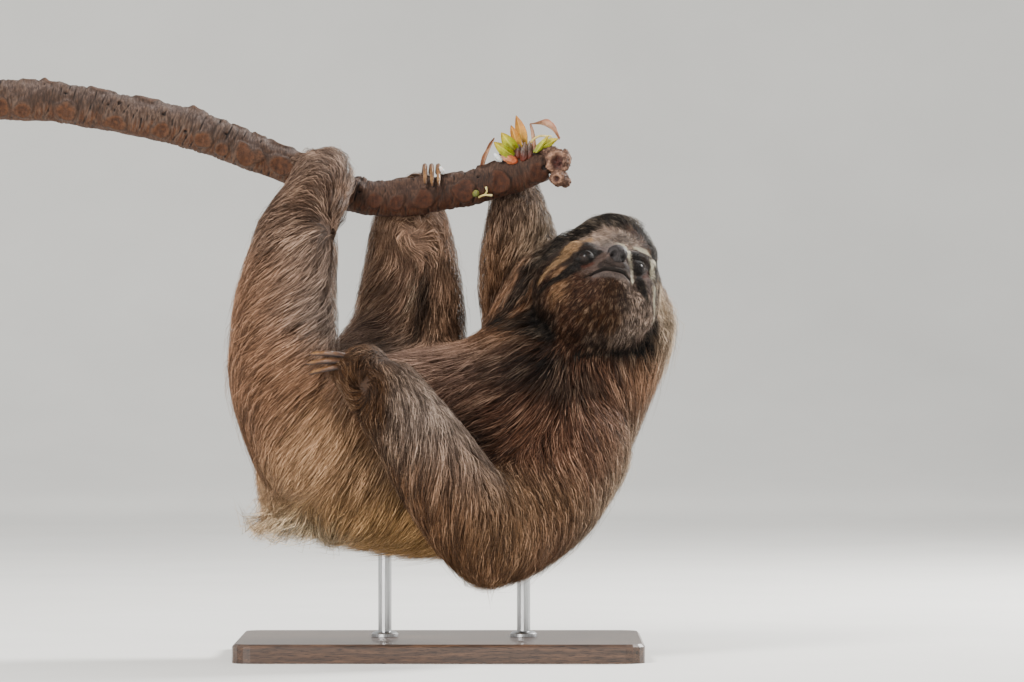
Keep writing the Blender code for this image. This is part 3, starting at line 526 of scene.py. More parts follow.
FLESH = [
    "head", "neck", "trunk", "tail", "ear_left", "ear_right",
    "upper_arm_left", "forearm_left", "hand_left",
    "upper_arm_right", "forearm_right", "hand_right",
    "thigh_left", "shank_left", "foot_left",
    "thigh_right", "shank_right", "foot_right",
]
SKIN_GRID = 2.0  # mm between the skin's points, and a quarter of that on the face
EASING = 26  # rounds of easing that melt the carved parts into one body
SETTLING = 4  # and that settle the skin under its coat
FACE_EASING = 6
PLUG_RADIUS = 7.0  # of the flesh that fills a rod's socket, mm
PLUG_OVER = 2.0  # how far the flesh goes on over the rod's end, mm
FACE_REACH = 34.0  # millimetres round the nose's tip that are worked finely


def new_object(name, mesh):
    obj = bpy.data.objects.new(name, mesh)
    bpy.context.scene.collection.objects.link(obj)
    return obj


def mesh_of(work, name):
    """A mesh of triangles from what was worked."""
    bmesh.ops.triangulate(work, faces=work.faces)
    mesh = bpy.data.meshes.new(name)
    work.to_mesh(mesh)
    work.free()
    mesh.shade_smooth()
    return mesh


def joined(name, *meshes):
    work = bmesh.new()
    for mesh in meshes:
        work.from_mesh(mesh)
    return mesh_of(work, name)


def evened(obj, grid):
    """Fuses an object's shapes into one, with faces of about one size."""
    even = obj.modifiers.new("Even", "REMESH")
    even.mode = "VOXEL"
    even.voxel_size = grid
    graph = bpy.context.evaluated_depsgraph_get()
    mesh = bpy.data.meshes.new_from_object(obj.evaluated_get(graph))
    obj.modifiers.clear()
    obj.data = joined(obj.name, mesh)


def arrays_of(mesh):
    """The mesh's places and its points' normals."""
    count = len(mesh.vertices)
    places, normals = np.empty(count * 3), np.empty(count * 3)
    mesh.vertices.foreach_get("co", places)
    mesh.vertices.foreach_get("normal", normals)
    return places.reshape(-1, 3), normals.reshape(-1, 3)


def put_back(mesh, places):
    mesh.vertices.foreach_set("co", places.astype(np.float32).ravel())
    mesh.update()


def eased(mesh, places, rounds, share=0.5):
    """Draws points towards the middle of their neighbours and back, holding the bulk."""
    edges = np.empty(len(mesh.edges) * 2, np.int32)
    mesh.edges.foreach_get("vertices", edges)
    a, b = edges.reshape(-1, 2).T
    ends, others = np.concatenate([a, b]), np.concatenate([b, a])
    count = np.bincount(ends, minlength=len(places))[:, None]
    share = np.broadcast_to(share, (len(places),))[:, None]
    for number in range(2 * rounds):
        sums = [np.bincount(ends, places[others, k], len(places)) for k in range(3)]
        pull = -1.04 * share if number % 2 else share
        places = places + pull * (np.stack(sums, axis=1) / count - places)
    return places


def rod_plug(rod):
    """Fills the rod's socket in the carved body, as flesh closes round it."""
    x, y, _ = middle_of(rod)
    radius = PLUG_RADIUS * MM
    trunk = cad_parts["trunk"].data.vertices
    rim = [v.co.z for v in trunk if math.hypot(v.co.x - x, v.co.y - y) < radius]
    bottom, top = min(rim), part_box(rod)[1].z + PLUG_OVER * MM
    work = bmesh.new()
    bmesh.ops.create_cone(
        work, cap_ends=True, segments=24, radius1=radius, radius2=radius, depth=top - bottom
    )
    work.transform(Matrix.Translation((x, y, (top + bottom) / 2)))
    return mesh_of(work, "plug")


def paint(mesh, title, values):
    """Gives each point of a mesh a colour or a number for its material."""
    if values.ndim == 2:
        layer = mesh.attributes.new(title, "FLOAT_COLOR", "POINT")
        values = np.hstack([values, np.ones((len(values), 1))])
        layer.data.foreach_set("color", values.astype(np.float32).ravel())
    else:
        layer = mesh.attributes.new(title, "FLOAT", "POINT")
        layer.data.foreach_set("value", values.astype(np.float32))


# Seen from the eye's middle: the way it looks, as left, forward and up with left
# for the outer side, and its opening's half length and half height.
EYE_RADIUS = 5.3
EYE_SUNK = 0.7  # how much deeper than the carved eye it sits, mm
GAZE = (0.40, 0.91, 0.08)
OPENING = {-1: (3.7, 2.0), 1: (2.9, 1.5)}  # the right eye, then the left one
OPENING_TILT = math.radians(14)  # the outer corner hangs lower
OPENING_POWER = 1.7  # 2 would make it an oval; less draws its corners out
LID_THICKNESS = 0.6
LID_BLEND = 0.9  # how sharply a lid parts from the cheek; higher is sharper
BEHIND_GLASS = 1.3  # how deep the skin goes behind the eye's front, mm


def eye_frame(side):
    """The eye's middle, then the ways along its opening, across it, and out."""
    middle = in_head(np.array([middle_of("eye_left" if side > 0 else "eye_right")]))[0]
    out = unit(np.array([side * GAZE[0], GAZE[1], GAZE[2]]))
    along = unit(np.cross((0, 0, 1), out))
    along *= side * np.sign(along[0])  # towards the outer corner
    up = np.cross(along, out)
    up *= np.sign(up[2])
    cos, sin = math.cos(OPENING_TILT), math.sin(OPENING_TILT)
    return middle - EYE_SUNK * out, along * cos - up * sin, up * cos + along * sin, out


def eye_sight(head, side):
    """Places of the head measured along an eye's opening, across it, and out."""
    middle, along, up, out = eye_frame(side)
    away = head - middle
    return away @ along, away @ up, away @ out


def opening(a, b, side):
    """Under 1 within the lids, 1 at their edge."""
    half_long, half_high = OPENING[side]
    powers = np.abs(a / half_long) ** OPENING_POWER + np.abs(b / half_high) ** OPENING_POWER
    return powers ** (1 / OPENING_POWER)


def lids(head):
    """Folds the skin over each eye and opens it between the lids."""
    for side in (-1, 1):
        _, _, _, out = eye_frame(side)
        a, b, h = eye_sight(head, side)
        off = np.hypot(a, b)
        edge = opening(a, b, side)
        ball = np.sqrt(np.maximum((EYE_RADIUS + LID_THICKNESS) ** 2 - off**2, 0))
        lid = np.log(np.exp(LID_BLEND * ball) + np.exp(LID_BLEND * (h - 0.9))) / LID_BLEND - 0.25
        lid += 0.35 * hump(edge, 1.16, 0.16)  # the lids' thick rims
        lid += 0.5 * hump(off, 7.6, 1.0) * step_up(0, 4, b)  # the fold over the eye
        inner = np.sqrt(np.maximum((EYE_RADIUS - BEHIND_GLASS) ** 2 - off**2, 0))
        open_share = 1 - step_up(0.88, 1.06, edge)
        target = lid + (inner - lid) * open_share
        share = (1 - step_up(6.5, 10, off)) * step_up(-4, -1, h)
        head = head + ((target - h) * share)[:, None] * out
    return head


# The line between the lips: left and up of the head's middle, mm.
MOUTH = [(-19, -13.5), (-13, -11.5), (-7, -10), (0, -10.4), (7, -10), (13.5, -12)]


def over_mouth(head):
    """How far above the line between the lips each place is."""
    lefts, ups = np.array(MOUTH, float).T
    return head[:, 2] - np.interp(head[:, 0], lefts, ups)


NOSE_CARVED_UP, NOSE_UP = 6.5, 10  # how far up the nose is carved, and sits, mm
NOSE_ASIDE = 0.9  # how far to the left of the carved one it sits, mm
NOSE_WIDTH, NOSE_HEIGHT = 0.86, 0.72  # as shares of the carved one's


def lifted_nose(head):
    """The carved nose's places as the nose sits: shorter, and higher on the muzzle."""
    left, forward, up = head.T
    raised = NOSE_UP + (up - NOSE_CARVED_UP) * NOSE_HEIGHT
    drawn_back = forward - 0.2 * np.clip(raised - up, 0, 4)
    return np.stack([NOSE_WIDTH * left + NOSE_ASIDE, drawn_back, raised], axis=1)


NOSTRILS = ((-2.3, 1.2), (5.1, 0.3))  # left and up of the head's middle, mm
NOSTRIL_SIZE = (2.5, 2.1)  # half width and half height, mm
NOSTRIL_FRONT = 46  # how far forward of the head's middle they begin, mm


def nostrils(head, wider=1.0):
    """1 in the nostrils and 0 round them."""
    away = [lengths((head[:, ::2] - middle) / NOSTRIL_SIZE) for middle in NOSTRILS]
    return (1 - step_up(0.5, 1.1, np.min(away, axis=0) / wider)) * (head[:, 1] > NOSTRIL_FRONT)


def mouth(head):
    """Presses the line of the mouth in and fills the lips above and below it."""
    left, forward, up = head.T
    away = over_mouth(head)
    push = -2.8 * hump(away, 0, 0.85)  # the line itself
    push += 0.9 * hump(away, -2.4, 1.3)  # the lower lip
    push += 0.5 * hump(away, 2.2, 1.3)  # the upper lip
    push -= 0.6 * hump(away, -6.0, 1.6)  # the dip over the chin
    push *= step_up(-20, -15, left) * (1 - step_up(11.5, 15, left)) * step_up(30, 36, forward)
    under_nose = hump(left, 1.4, 7.5) * step_up(-10.5, -6, up) * (1 - step_up(-2, 2, up))
    push -= 3.0 * under_nose * step_up(38, 44, forward) + 3.6 * nostrils(head, 1.3)
    return np.stack([left, forward + push, up], axis=1)


# Where the coat bulges past the carved body: x, y, z, reach and how far, mm.
PLUMP = [
    ((-66, -35, 355), 15, 4.5), ((-80, -15, 371), 11, 3.5), ((93, -7, 312), 9, 3.0),
    ((118, -3, 326), 14, 2.5), ((-72, -100, 212), 12, 2.0), ((141, -14, 317), 12, 5.0),
    ((126, -8, 324), 12, 1.0), ((155, -16, 301), 10, 2.0),
]


def plumpness(places):
    """How far the skin swells out at each place, in metres."""
    swells = [far * hump(lengths(places / MM - place), 0, reach) for place, reach, far in PLUMP]
    return np.sum(swells, axis=0) * MM


nose_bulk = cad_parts["nose"].data.copy()
places, _ = arrays_of(nose_bulk)
put_back(nose_bulk, out_of_head(lifted_nose(in_head(places))))
bulk = [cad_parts[name].data for name in FLESH + ["eye_left", "eye_right", "nose"]]
bulk += [rod_plug(rod) for rod in ("stand_rod_front", "stand_rod_back")]
skin = new_object("skin", joined("skin", *bulk, nose_bulk))
evened(skin, SKIN_GRID * MM)

places, _ = arrays_of(skin.data)
coarse = step_up(6 * MM, 20 * MM, hair_length(places))  # the face keeps its shape
put_back(skin.data, eased(skin.data, places, EASING, 0.5 * (0.25 + 0.75 * coarse)))
places, normals = arrays_of(skin.data)
places = places + normals * (plumpness(places) - coat_depth(places))[:, None]
put_back(skin.data, eased(skin.data, places, SETTLING))

for reach in (FACE_REACH, FACE_REACH - 2):
    work = bmesh.new()
    work.from_mesh(skin.data)
    head = in_head(np.array([v.co for v in work.verts]))
    fine = lengths(head - NOSE_TIP) < reach
    split = [e for e in work.edges if fine[e.verts[0].index] and fine[e.verts[1].index]]
    bmesh.ops.subdivide_edges(work, edges=split, cuts=1, use_grid_fill=True)
    skin.data = mesh_of(work, "skin")
places, _ = arrays_of(skin.data)
head = in_head(places)
fine = 1 - step_up(FACE_REACH - 6, FACE_REACH, lengths(head - NOSE_TIP))
places = eased(skin.data, places, FACE_EASING, 0.5 * fine)
put_back(skin.data, out_of_head(mouth(lids(in_head(places)))))


def add(tree, kind, feeds=(), **settings):
    """A new node of a material, with its sockets set or fed by other nodes."""
    made = tree.nodes.new("ShaderNode" + kind)
    for name, value in settings.items():
        setattr(made, name, value)
    for name, value in dict(feeds).items():
        if isinstance(value, bpy.types.NodeSocket):
            tree.links.new(value, made.inputs[name])
        else:
            made.inputs[name].default_value = value
    return made


def value_of(tree, title):
    """The number that paint() gave the mesh under this title."""
    return add(tree, "Attribute", attribute_name=title).outputs["Fac"]


def colour_of(tree, title):
    return add(tree, "Attribute", attribute_name=title).outputs["Color"]


def place_in(tree, stretch=None):
    """Places in the piece's own axes; a small stretch draws a pattern out that way."""
    place = add(tree, "TexCoord").outputs["Object"]
    if stretch:
        place = add(tree, "Mapping", {"Vector": place, "Scale": stretch}).outputs["Vector"]
    return place


def part_of(tree, vector, axis):
    return add(tree, "SeparateXYZ", {"Vector": vector}).outputs[axis]


def facing(tree, axis):
    """How far the surface looks along an axis, from -1 to 1."""
    return part_of(tree, add(tree, "NewGeometry").outputs["Normal"], axis)


def share_of(tree, number, low, high):
    """0 where the number is low, 1 where it is high, and even between."""
    feeds = {"Value": number, "From Min": low, "From Max": high}
    return add(tree, "MapRange", feeds).outputs["Result"]


def reckon(tree, operation, *numbers):
    return add(tree, "Math", enumerate(numbers), operation=operation).outputs["Value"]


def ramp(tree, number, *stops):
    """Turns a number into a colour; each stop is a place and a shade up to 255."""
    made = add(tree, "ValToRGB", {"Fac": number})
    points = made.color_ramp.elements
    while len(points) < len(stops):
        points.new(0.5)
    for point, (place, shade) in zip(points, stops):
        point.position = place
        point.color = (*light_of(shade), 1)
    return made.outputs["Color"]


def mixed(tree, share, a, b, way="MIX"):
    feeds = {"Factor": share, "A": a, "B": b}
    return add(tree, "Mix", feeds, data_type="RGBA", blend_type=way).outputs["Result"]


def tinted(tree, tone, *shades):
    """A colour darkened by each of the shades in turn."""
    for shade in shades:
        tone = mixed(tree, 1.0, tone, shade, "MULTIPLY")
    return tone


def noise(tree, scale, detail=3.0, rough=0.55, place=None):
    feeds = {"Vector": place or place_in(tree), "Scale": scale, "Detail": detail}
    return add(tree, "TexNoise", {**feeds, "Roughness": rough}).outputs["Fac"]


def cells(tree, scale, feature):
    feeds = {"Vector": place_in(tree), "Scale": scale}
    return add(tree, "TexVoronoi", feeds, feature=feature).outputs["Distance"]


def bump(tree, height, deep, normal=None):
    """A relief whose full height stands so deep, in millimetres."""
    made = add(tree, "Bump", {"Height": height, "Distance": deep * MM})
    if normal:
        tree.links.new(normal, made.inputs["Normal"])
    return made.outputs["Normal"]


def new_material(name, roughness, **sockets):
    """A material's node tree and its shader; sockets hold what never varies."""
    made = bpy.data.materials.new(name)
    made.use_nodes = True
    shader = made.node_tree.nodes["Principled BSDF"]
    shader.inputs["Roughness"].default_value = roughness
    for socket, value in sockets.items():
        shader.inputs[socket.replace("_", " ")].default_value = value
    return made, made.node_tree, shader


def feed(tree, shader, **links):
    for socket, source in links.items():
        tree.links.new(source, shader.inputs[socket.replace("_", " ")])


def dressed(piece, material, slot, *replaced):
    """Gives a finished piece its material and its place in the frame; slot is not used."""
    piece.data.materials.clear()
    piece.data.materials.append(material)
    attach(piece, "root")
    if replaced:
        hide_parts(*replaced)


skin_places, skin_normals = arrays_of(skin.data)


def bareness(places):
    """1 on the lids, the lips and round the nose, where no hair grows."""
    head = in_head(places)
    bare = np.zeros(len(places))
    for side in (-1, 1):
        a, b, h = eye_sight(head, side)
        bare = np.maximum(bare, (1 - step_up(1.35, 1.8, opening(a, b, side))) * (h > -2))
    lips = 1 - step_up(2.6, 3.8, np.abs(over_mouth(head) + 1.2))
    lips *= step_up(-17, -13, head[:, 0]) * (1 - step_up(12, 15, head[:, 0])) * (head[:, 1] > 34)
    nose = 1 - step_up(8.5, 10.5, lengths(head - NOSE_TIP))
    return np.max([bare, lips, nose], axis=0)


bare = bareness(skin_places)
dye, _ = shades(skin_places)
# Painted shade: where hair grows the skin is a quarter darker, as shade under the coat; bare places keep
# the coat's colour.
paint(skin.data, "dye", dye * (0.75 + 0.25 * bare)[:, None])

WHITE = (255, 255, 255)
hide, tree, shader = new_material("hide", 0.72, Specular_IOR_Level=0.3)
wool = noise(tree, 900, 4.0, 0.7)
grain = cells(tree, 1500, "DISTANCE_TO_EDGE")
speckle = ramp(tree, wool, (0.32, (150, 146, 142)), (0.50, (225, 225, 225)), (0.7, (255, 250, 240)))
mottle = ramp(tree, noise(tree, 130), (0.35, (190, 180, 175)), (0.65, WHITE))
feed(
    tree, shader,
    Base_Color=tinted(tree, colour_of(tree, "dye"), speckle, mottle),
    Normal=bump(tree, grain, 0.25, bump(tree, wool, 0.5)),
)
dressed(skin, hide, "coat", *FLESH)

# ---------------------------------------------------------------- the eyes
# Each is a ball of dark brown glass with a domed cornea, set in the skin behind
# its lids. The iris hardly differs from the pupil, as in the living animal.

IRIS = math.radians(38)  # from the middle of the pupil to the iris's rim
PUPIL = math.radians(15)
RIGHT_ANGLE = math.pi / 2
CORNEA_DOME = 0.035  # how far it stands out, as a share of the ball's radius

glass, tree, shader = new_material("eye_glass", 0.3, Specular_IOR_Level=0.3)
fibres = noise(tree, 2200, 5.0, 0.7)
tone = ramp(
    tree, share_of(tree, value_of(tree, "off_gaze"), 0.0, RIGHT_ANGLE),
    (0.0, (7, 5, 5)), (PUPIL / RIGHT_ANGLE, (9, 6, 5)), (0.22, (30, 20, 15)),
    (0.37, (38, 29, 25)), (IRIS / RIGHT_ANGLE, (14, 9, 8)), (0.6, (20, 14, 12)),
)
streaks = ramp(tree, fibres, (0.3, (150, 140, 135)), (0.7, (255, 250, 245)))
feed(tree, shader, Base_Color=tinted(tree, tone, streaks))

for side, node in ((1, "eye_left"), (-1, "eye_right")):
    middle, *axes = eye_frame(side)
    work = bmesh.new()
    bmesh.ops.create_uvsphere(work, u_segments=48, v_segments=32, radius=EYE_RADIUS)
    globe = mesh_of(work, "glass_" + node)
    places, _ = arrays_of(globe)  # its pole looks along Z
    off_gaze = np.arccos(np.clip(places[:, 2] / EYE_RADIUS, -1, 1))
    places *= (1 + CORNEA_DOME * (1 - step_up(0, IRIS * 1.15, off_gaze)))[:, None]
    put_back(globe, out_of_head(middle + places @ np.array(axes)))
    paint(globe, "off_gaze", off_gaze)
    if np.linalg.det(np.array(axes) @ np.array(head_axes).T) < 0:
        globe.flip_normals()
    dressed(new_object("glass_" + node, globe), glass, "eye", node)

# ---------------------------------------------------------------- the nose
# The bare pad at the muzzle's end: damp pebbled leather, slate brown, with two
# round nostrils that open forward and down. It is set into the skin.

PAD_GRID = 0.42  # mm between the pad's points
PAD_EASING = 14  # rounds of easing that take the carved edges off
PAD_OUT = 0.5  # how far the pad stands out of the muzzle, mm
NOSTRIL_DEPTH = 2.4
GROOVE_DEPTH = 0.5  # of the groove from the nose down to the lip


def rounded(node, name, grid, rounds):
    """A carved node as a new piece with fine faces and eased edges."""
    made = new_object(name, joined(name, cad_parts[node].data))
    evened(made, grid * MM)
    places, _ = arrays_of(made.data)
    put_back(made.data, eased(made.data, places, rounds))
    return made


pad = rounded("nose", "nose_pad", PAD_GRID, PAD_EASING)
places, _ = arrays_of(pad.data)
put_back(pad.data, out_of_head(lifted_nose(in_head(places))))
places, normals = arrays_of(pad.data)
head = in_head(places + normals * PAD_OUT * MM)
hollow = nostrils(head)
head[:, 1] -= NOSTRIL_DEPTH * hollow
groove = hump(head[:, 0], 1.2, 0.6) * (head[:, 1] > 50)
head[:, 1] -= GROOVE_DEPTH * groove * (1 - step_up(0, 5, head[:, 2]))
put_back(pad.data, out_of_head(head))
paint(pad.data, "hollow", hollow)

leather, tree, shader = new_material("nose_leather", 0.62, Specular_IOR_Level=0.35)
pebbles = cells(tree, 1300, "SMOOTH_F1")
tone = ramp(tree, noise(tree, 260, 4.0), (0.3, (23, 18, 17)), (0.52, (39, 33, 33)), (0.72, (60, 53, 54)))
tone = tinted(tree, tone, ramp(tree, pebbles, (0.1, WHITE), (0.75, (170, 162, 160))))
# The nostrils are painted nearly black, as shade deep in them.
feed(
    tree, shader,
    Base_Color=mixed(tree, value_of(tree, "hollow"), tone, (0.004, 0.002, 0.002, 1)),
    Normal=bump(tree, pebbles, -0.22, bump(tree, noise(tree, 700), 0.15)),
)
dressed(pad, leather, "nose_leather", "nose")

# ---------------------------------------------------------------- the coat
# Hair in tapered tufts of solid mesh, rooted in the skin, combed along it and
# drawn together into locks. It is grown piece by piece so that each part of the
# body keeps its own tufts, and it is shortest and finest on the face.

# Where the hair springs away from the skin: place, reach and how many times as high.
SPRINGS = [
    ((-128, 0, 104), 22, 2.2),  # tail
    ((-96, -12, 92), 22, 2.2),
    ((170, -10, 262), 26, 1.9),  # nape
    ((150, -30, 160), 30, 1.2),
    ((38, -110, 62), 20, 1.2),  # elbow
    ((-74, -104, 212), 16, 1.8),  # hand, over the claws' roots
    ((-68, -40, 352), 17, 1.3),  # foot
    ((-9, 0, 358), 12, 1.6),
]
CROWN_SPRING = 1.35
DROOP = (-0.10, 0, -0.05)  # the lie where nothing combs it: a little tailward and down
DRIFTS = ((0.07, 3, 30), (0.04, 5, 9))  # strength, seed and width in mm of its wandering
WAVE = 0.34  # how far the waviest hair swings to each side
HEAD_WAVE = 0.35  # how wavy the head's hair is
BODY_COMBING, FACE_COMBING = 2.0, 2.5  # how strongly the combs pull
HAIRS_TO_A_LOCK = 8
LIKE_ITS_LOCK = 0.65  # the share of hairs with the colour of their lock's middle one
STRAY = 0.03  # the share of hairs that are longer, thinner and stand further out
STRAY_LONGER, STRAY_HIGHER, STRAY_THINNER = 0.25, 0.5, 0.35  # by these shares
LENGTH_RANGE = (0.65, 1.25)  # the least and most of its length that a hair has by chance
STAND_RANGE = (0.55, 1.25)  # the same for how far it stands out of the skin
WIDTH_RANGE = (0.7, 1.35)  # and for its width
LOCK_PULLS = (0.0825, 0.4125)  # how far a tip is drawn to that of its lock's middle hair
LOCK_BEND = 1.3  # over 1, the outer part of a hair is drawn in more than the inner
TUFT_HALF_WIDTH = (0.085, 0.22)  # of the shortest hair's and the longest hair's, mm
SAG = 0.14  # how far long hair hangs under the body, as a share of its length
ROOT_SUNK = 0.5  # how deep a root goes into the skin, mm
SEGMENTS = 2  # straight stretches along each tuft
PATCH = 0.003  # width and height of a tuft's place on the flat pattern of the skin

# Where the hair turns round a place: place, reach, and its share outwards and round.
WHORLS = [
    ((-52, -122, 201), 16, 0.25, -1.5),
    ((-24, 6, 314), 14, 0.1, 2.2),
    ((60, 22, 300), 15, 0.2, 0.8),
]


def spring(places):
    made = np.ones(len(places))
    for place, reach, times in SPRINGS:
        made += (times - 1) * hump(lengths(places / MM - place), 0, reach)
    head = in_head(places)
    crown = step_up(30, 48, head[:, 2]) * step_up(-24, -8, head[:, 0])
    crown *= step_up(0, 0.5, on_the_head(places))
    return made + (CROWN_SPRING - 1) * crown


def combing(places, combs):
    """How the lines of a list comb the hair at each place, each line the way it runs."""
    pulls = np.zeros(places.shape)
    for reach, line in combs:
        away, way = nearest_on(places, np.array(line, float), np.full(len(line), reach))
        pulls += hump(away, 0, 1)[:, None] * way
    return pulls


def without(ways, other):
    """The ways with what runs along another way, one long, taken out."""
    return ways - other * (ways * other).sum(axis=1, keepdims=True)


def lie_at(places, normals):
    """The way the hair is combed along the skin at each place."""
    lie = mark_shares(places) @ mark_lie
    for place, reach, outwards, round_it in WHORLS:
        away = places / MM - place
        pull = hump(lengths(away), 0, reach)[:, None]
        away = unit(away, 1e-6)
        lie += pull * (outwards * away + round_it * np.cross(away, (0, 1, 0)))
    lie += BODY_COMBING * combing(places / MM, BODY_COMBS)
    share = on_the_head(places)[:, None]
    lie = lie * (1 - share) + unit(places - out_of_head(NOSE_TIP)) * share
    lie += FACE_COMBING * combing(in_head(places), FACE_COMBS) @ np.array(head_axes).T
    lie += DROOP
    return unit(without(lie, normals), 1e-6)


def drift(places, seed, wavelength):
    """A smooth random way at each place, about one long."""
    rng = np.random.default_rng(seed)
    made = np.zeros((len(places), 3))
    for _ in range(5):
        wave = rng.normal(size=3) * 2 * math.pi / wavelength
        for axis in range(3):
            made[:, axis] += np.sin(places @ wave + rng.uniform(0, 2 * math.pi))
    return made / 2.2


def finder(places):
    """A function that gives, for any spots, the number of the nearest of these places."""
    known = kdtree.KDTree(len(places))
    for number, place in enumerate(places):
        known.insert(place, number)
    known.balance()
    return lambda spots: np.array([known.find(spot)[1] for spot in spots])


nearest_skin = finder(skin_places)


def rooted(rng, count, faces):
    """Random places on the skin's faces, denser where the hair is short."""
    corners = skin_places[faces]
    across = np.cross(corners[:, 1] - corners[:, 0], corners[:, 2] - corners[:, 0])
    middle = corners.mean(axis=1)
    weight = lengths(across) / (0.12 + hair_length(middle) / (30 * MM)) ** 1.1
    weight *= 1 - bareness(middle)
    pick = rng.choice(len(faces), count, p=weight / weight.sum())
    a, b = rng.random((2, count))
    flip = a + b > 1
    a[flip], b[flip] = 1 - a[flip], 1 - b[flip]
    return pick, np.stack([1 - a - b, a, b], axis=1)


def combed(rng, root, out, length, stand):
    """Each hair's line over the skin: its root, the places between, and its tip."""
    count = len(root)
    share = on_the_head(root)
    wave = mark_shares(root) @ mark_wave * (1 - share) + HEAD_WAVE * share
    sway = rng.normal(0, 0.11, (count, 1))
    phase = rng.uniform(0, 2 * math.pi, count)
    pace = (length / SEGMENTS)[:, None]
    line, at = [root], root
    for k in range(1, SEGMENTS + 1):
        way = lie_at(at, out)
        for strength, seed, width in DRIFTS:
            way = way + strength * drift(at, seed, width * MM)
        curl = WAVE * wave * np.sin(phase + 2.4 * k)
        way = way + np.cross(out, way) * (sway + curl[:, None])
        at = at + unit(without(way, out)) * pace
        near = nearest_skin(at)
        out = skin_normals[near]
        at = skin_places[near] + without(at - skin_places[near], out)
        t = k / SEGMENTS
        lifted = at + out * (stand * math.sin(math.pi / 2 * min(1.0, 1.4 * t)))[:, None]
        lifted[:, 2] -= SAG * length * t * t * np.clip(-out[:, 2], 0, 1)
        line.append(lifted)
    return np.array(line)


def leaders_of(rng, root):
    """For each hair, the number of the one in the middle of its lock."""
    chosen = rng.choice(len(root), len(root) // HAIRS_TO_A_LOCK, replace=False)
    return chosen[finder(root[chosen])(root)]


def gathered(rng, line, leader):
    """Draws the hairs' outer parts together into locks."""
    pull = rng.uniform(*LOCK_PULLS, (len(leader), 1))
    for k in range(1, SEGMENTS + 1):
        line[k] += (line[k][leader] - line[k]) * pull * (k / SEGMENTS) ** LOCK_BEND
    return line


def between(ends, share):
    """What lies this share of the way from the first end to the second."""
    return ends[0] + (ends[1] - ends[0]) * share


def spun(line, normal, width):
    """Closed tapered tufts along the lines: their points and one tuft's faces."""
    rings = []
    for k in range(SEGMENTS):
        t = k / SEGMENTS
        way = unit(line[k + 1] - line[max(k - 1, 0)], 1e-9)
        over = unit(without(normal, way), 1e-9)
        side = np.cross(over, way)
        half = (width * (0.8 + 0.45 * t) * (1 - 0.75 * t**2))[:, None]  # fullest half way
        base = line[k] - over * (ROOT_SUNK * MM if k == 0 else 0)
        rings += [base - side * half, base + side * half, base + over * half * 0.8]
    points = np.stack(rings + [line[SEGMENTS]], axis=1)
    faces = [(0, 2, 1)]
    for k in range(SEGMENTS - 1):
        low, high = 3 * k, 3 * k + 3
        for i in range(3):
            j = (i + 1) % 3
            faces += [(low + i, low + j, high + j), (low + i, high + j, high + i)]
    last, tip = 3 * (SEGMENTS - 1), 3 * SEGMENTS
    faces += [(last + i, last + (i + 1) % 3, tip) for i in range(3)]
    return points, np.array(faces)


def hair_dye(root, chance):
    """Each hair's own colour: darker and redder, or bleached, by chance."""
    dye, contrast = shades(root)
    swing = np.interp(chance, [0, 0.3, 0.6, 0.85, 1], [-1.5, -0.7, 0.0, 0.55, 1.0])
    dye = dye * np.exp(swing * contrast)[:, None]
    bleached = (np.clip(chance - 0.72, 0, 1) * 1.6 * np.clip(contrast, 0, 1))[:, None]
    dark = (np.clip(0.4 - chance, 0, 1) * contrast)[:, None]
    dye = dye + (PALE_HAIR - dye) * bleached * 0.55
    return dye * (1 - dark * np.array([0.10, 0.30, 0.45]))


def tufts(name, faces, patterns, count, seed):
    """One piece of the coat, rooted on some of the skin's faces."""
    rng = np.random.default_rng(seed)
    pick, share = rooted(rng, count, faces)
    root = (skin_places[faces[pick]] * share[:, :, None]).sum(axis=1)
    normal = skin_normals[faces[pick][:, 0]]
    patch = (patterns[pick] * share[:, :, None]).sum(axis=1)
    leader = leaders_of(rng, root)
    chance = rng.random(count)
    chance = np.where(rng.random(count) < LIKE_ITS_LOCK, chance[leader], chance)
    stray = rng.random(count) < STRAY
    length = hair_length(root) * rng.uniform(*LENGTH_RANGE, count) * (1 + STRAY_LONGER * stray)
    stand = rng.uniform(*STAND_RANGE, count) * coat_depth(root) * spring(root)
    stand *= 1 + STRAY_HIGHER * stray
    line = gathered(rng, combed(rng, root, normal, length, stand), leader)
    width = between(TUFT_HALF_WIDTH, step_up(3 * MM, 20 * MM, length)) * MM
    width *= rng.uniform(*WIDTH_RANGE, count) * (1 - STRAY_THINNER * stray)
    points, pattern = spun(line, normal, width)
    per = points.shape[1]
    corners = (pattern[None] + (np.arange(count) * per)[:, None, None]).reshape(-1)

    mesh = bpy.data.meshes.new(name)
    mesh.vertices.add(count * per)
    mesh.vertices.foreach_set("co", points.astype(np.float32).ravel())
    mesh.loops.add(len(corners))
    mesh.loops.foreach_set("vertex_index", corners.astype(np.int32))
    mesh.polygons.add(len(corners) // 3)
    mesh.polygons.foreach_set("loop_start", np.arange(0, len(corners), 3, dtype=np.int32))
    mesh.update(calc_edges=True)
    mesh.shade_smooth()

    along = np.append(np.repeat(np.arange(SEGMENTS) / SEGMENTS, 3), 1.0)
    across = np.append(np.tile([-1.0, 1.0, 0.0], SEGMENTS), 0.0)
    spread = np.stack([across, 2 * along - 1], axis=1) * PATCH / 2
    uv = (patch[:, None] + spread[None]).reshape(-1, 2)[corners]
    mesh.uv_layers.new(name="OFBake")
    mesh.uv_layers["OFBake"].data.foreach_set("uv", uv.astype(np.float32).ravel())
    paint(mesh, "dye", np.repeat(hair_dye(root, chance), per, axis=0))
    paint(mesh, "along", np.tile(along, count))
    return new_object(name, mesh)


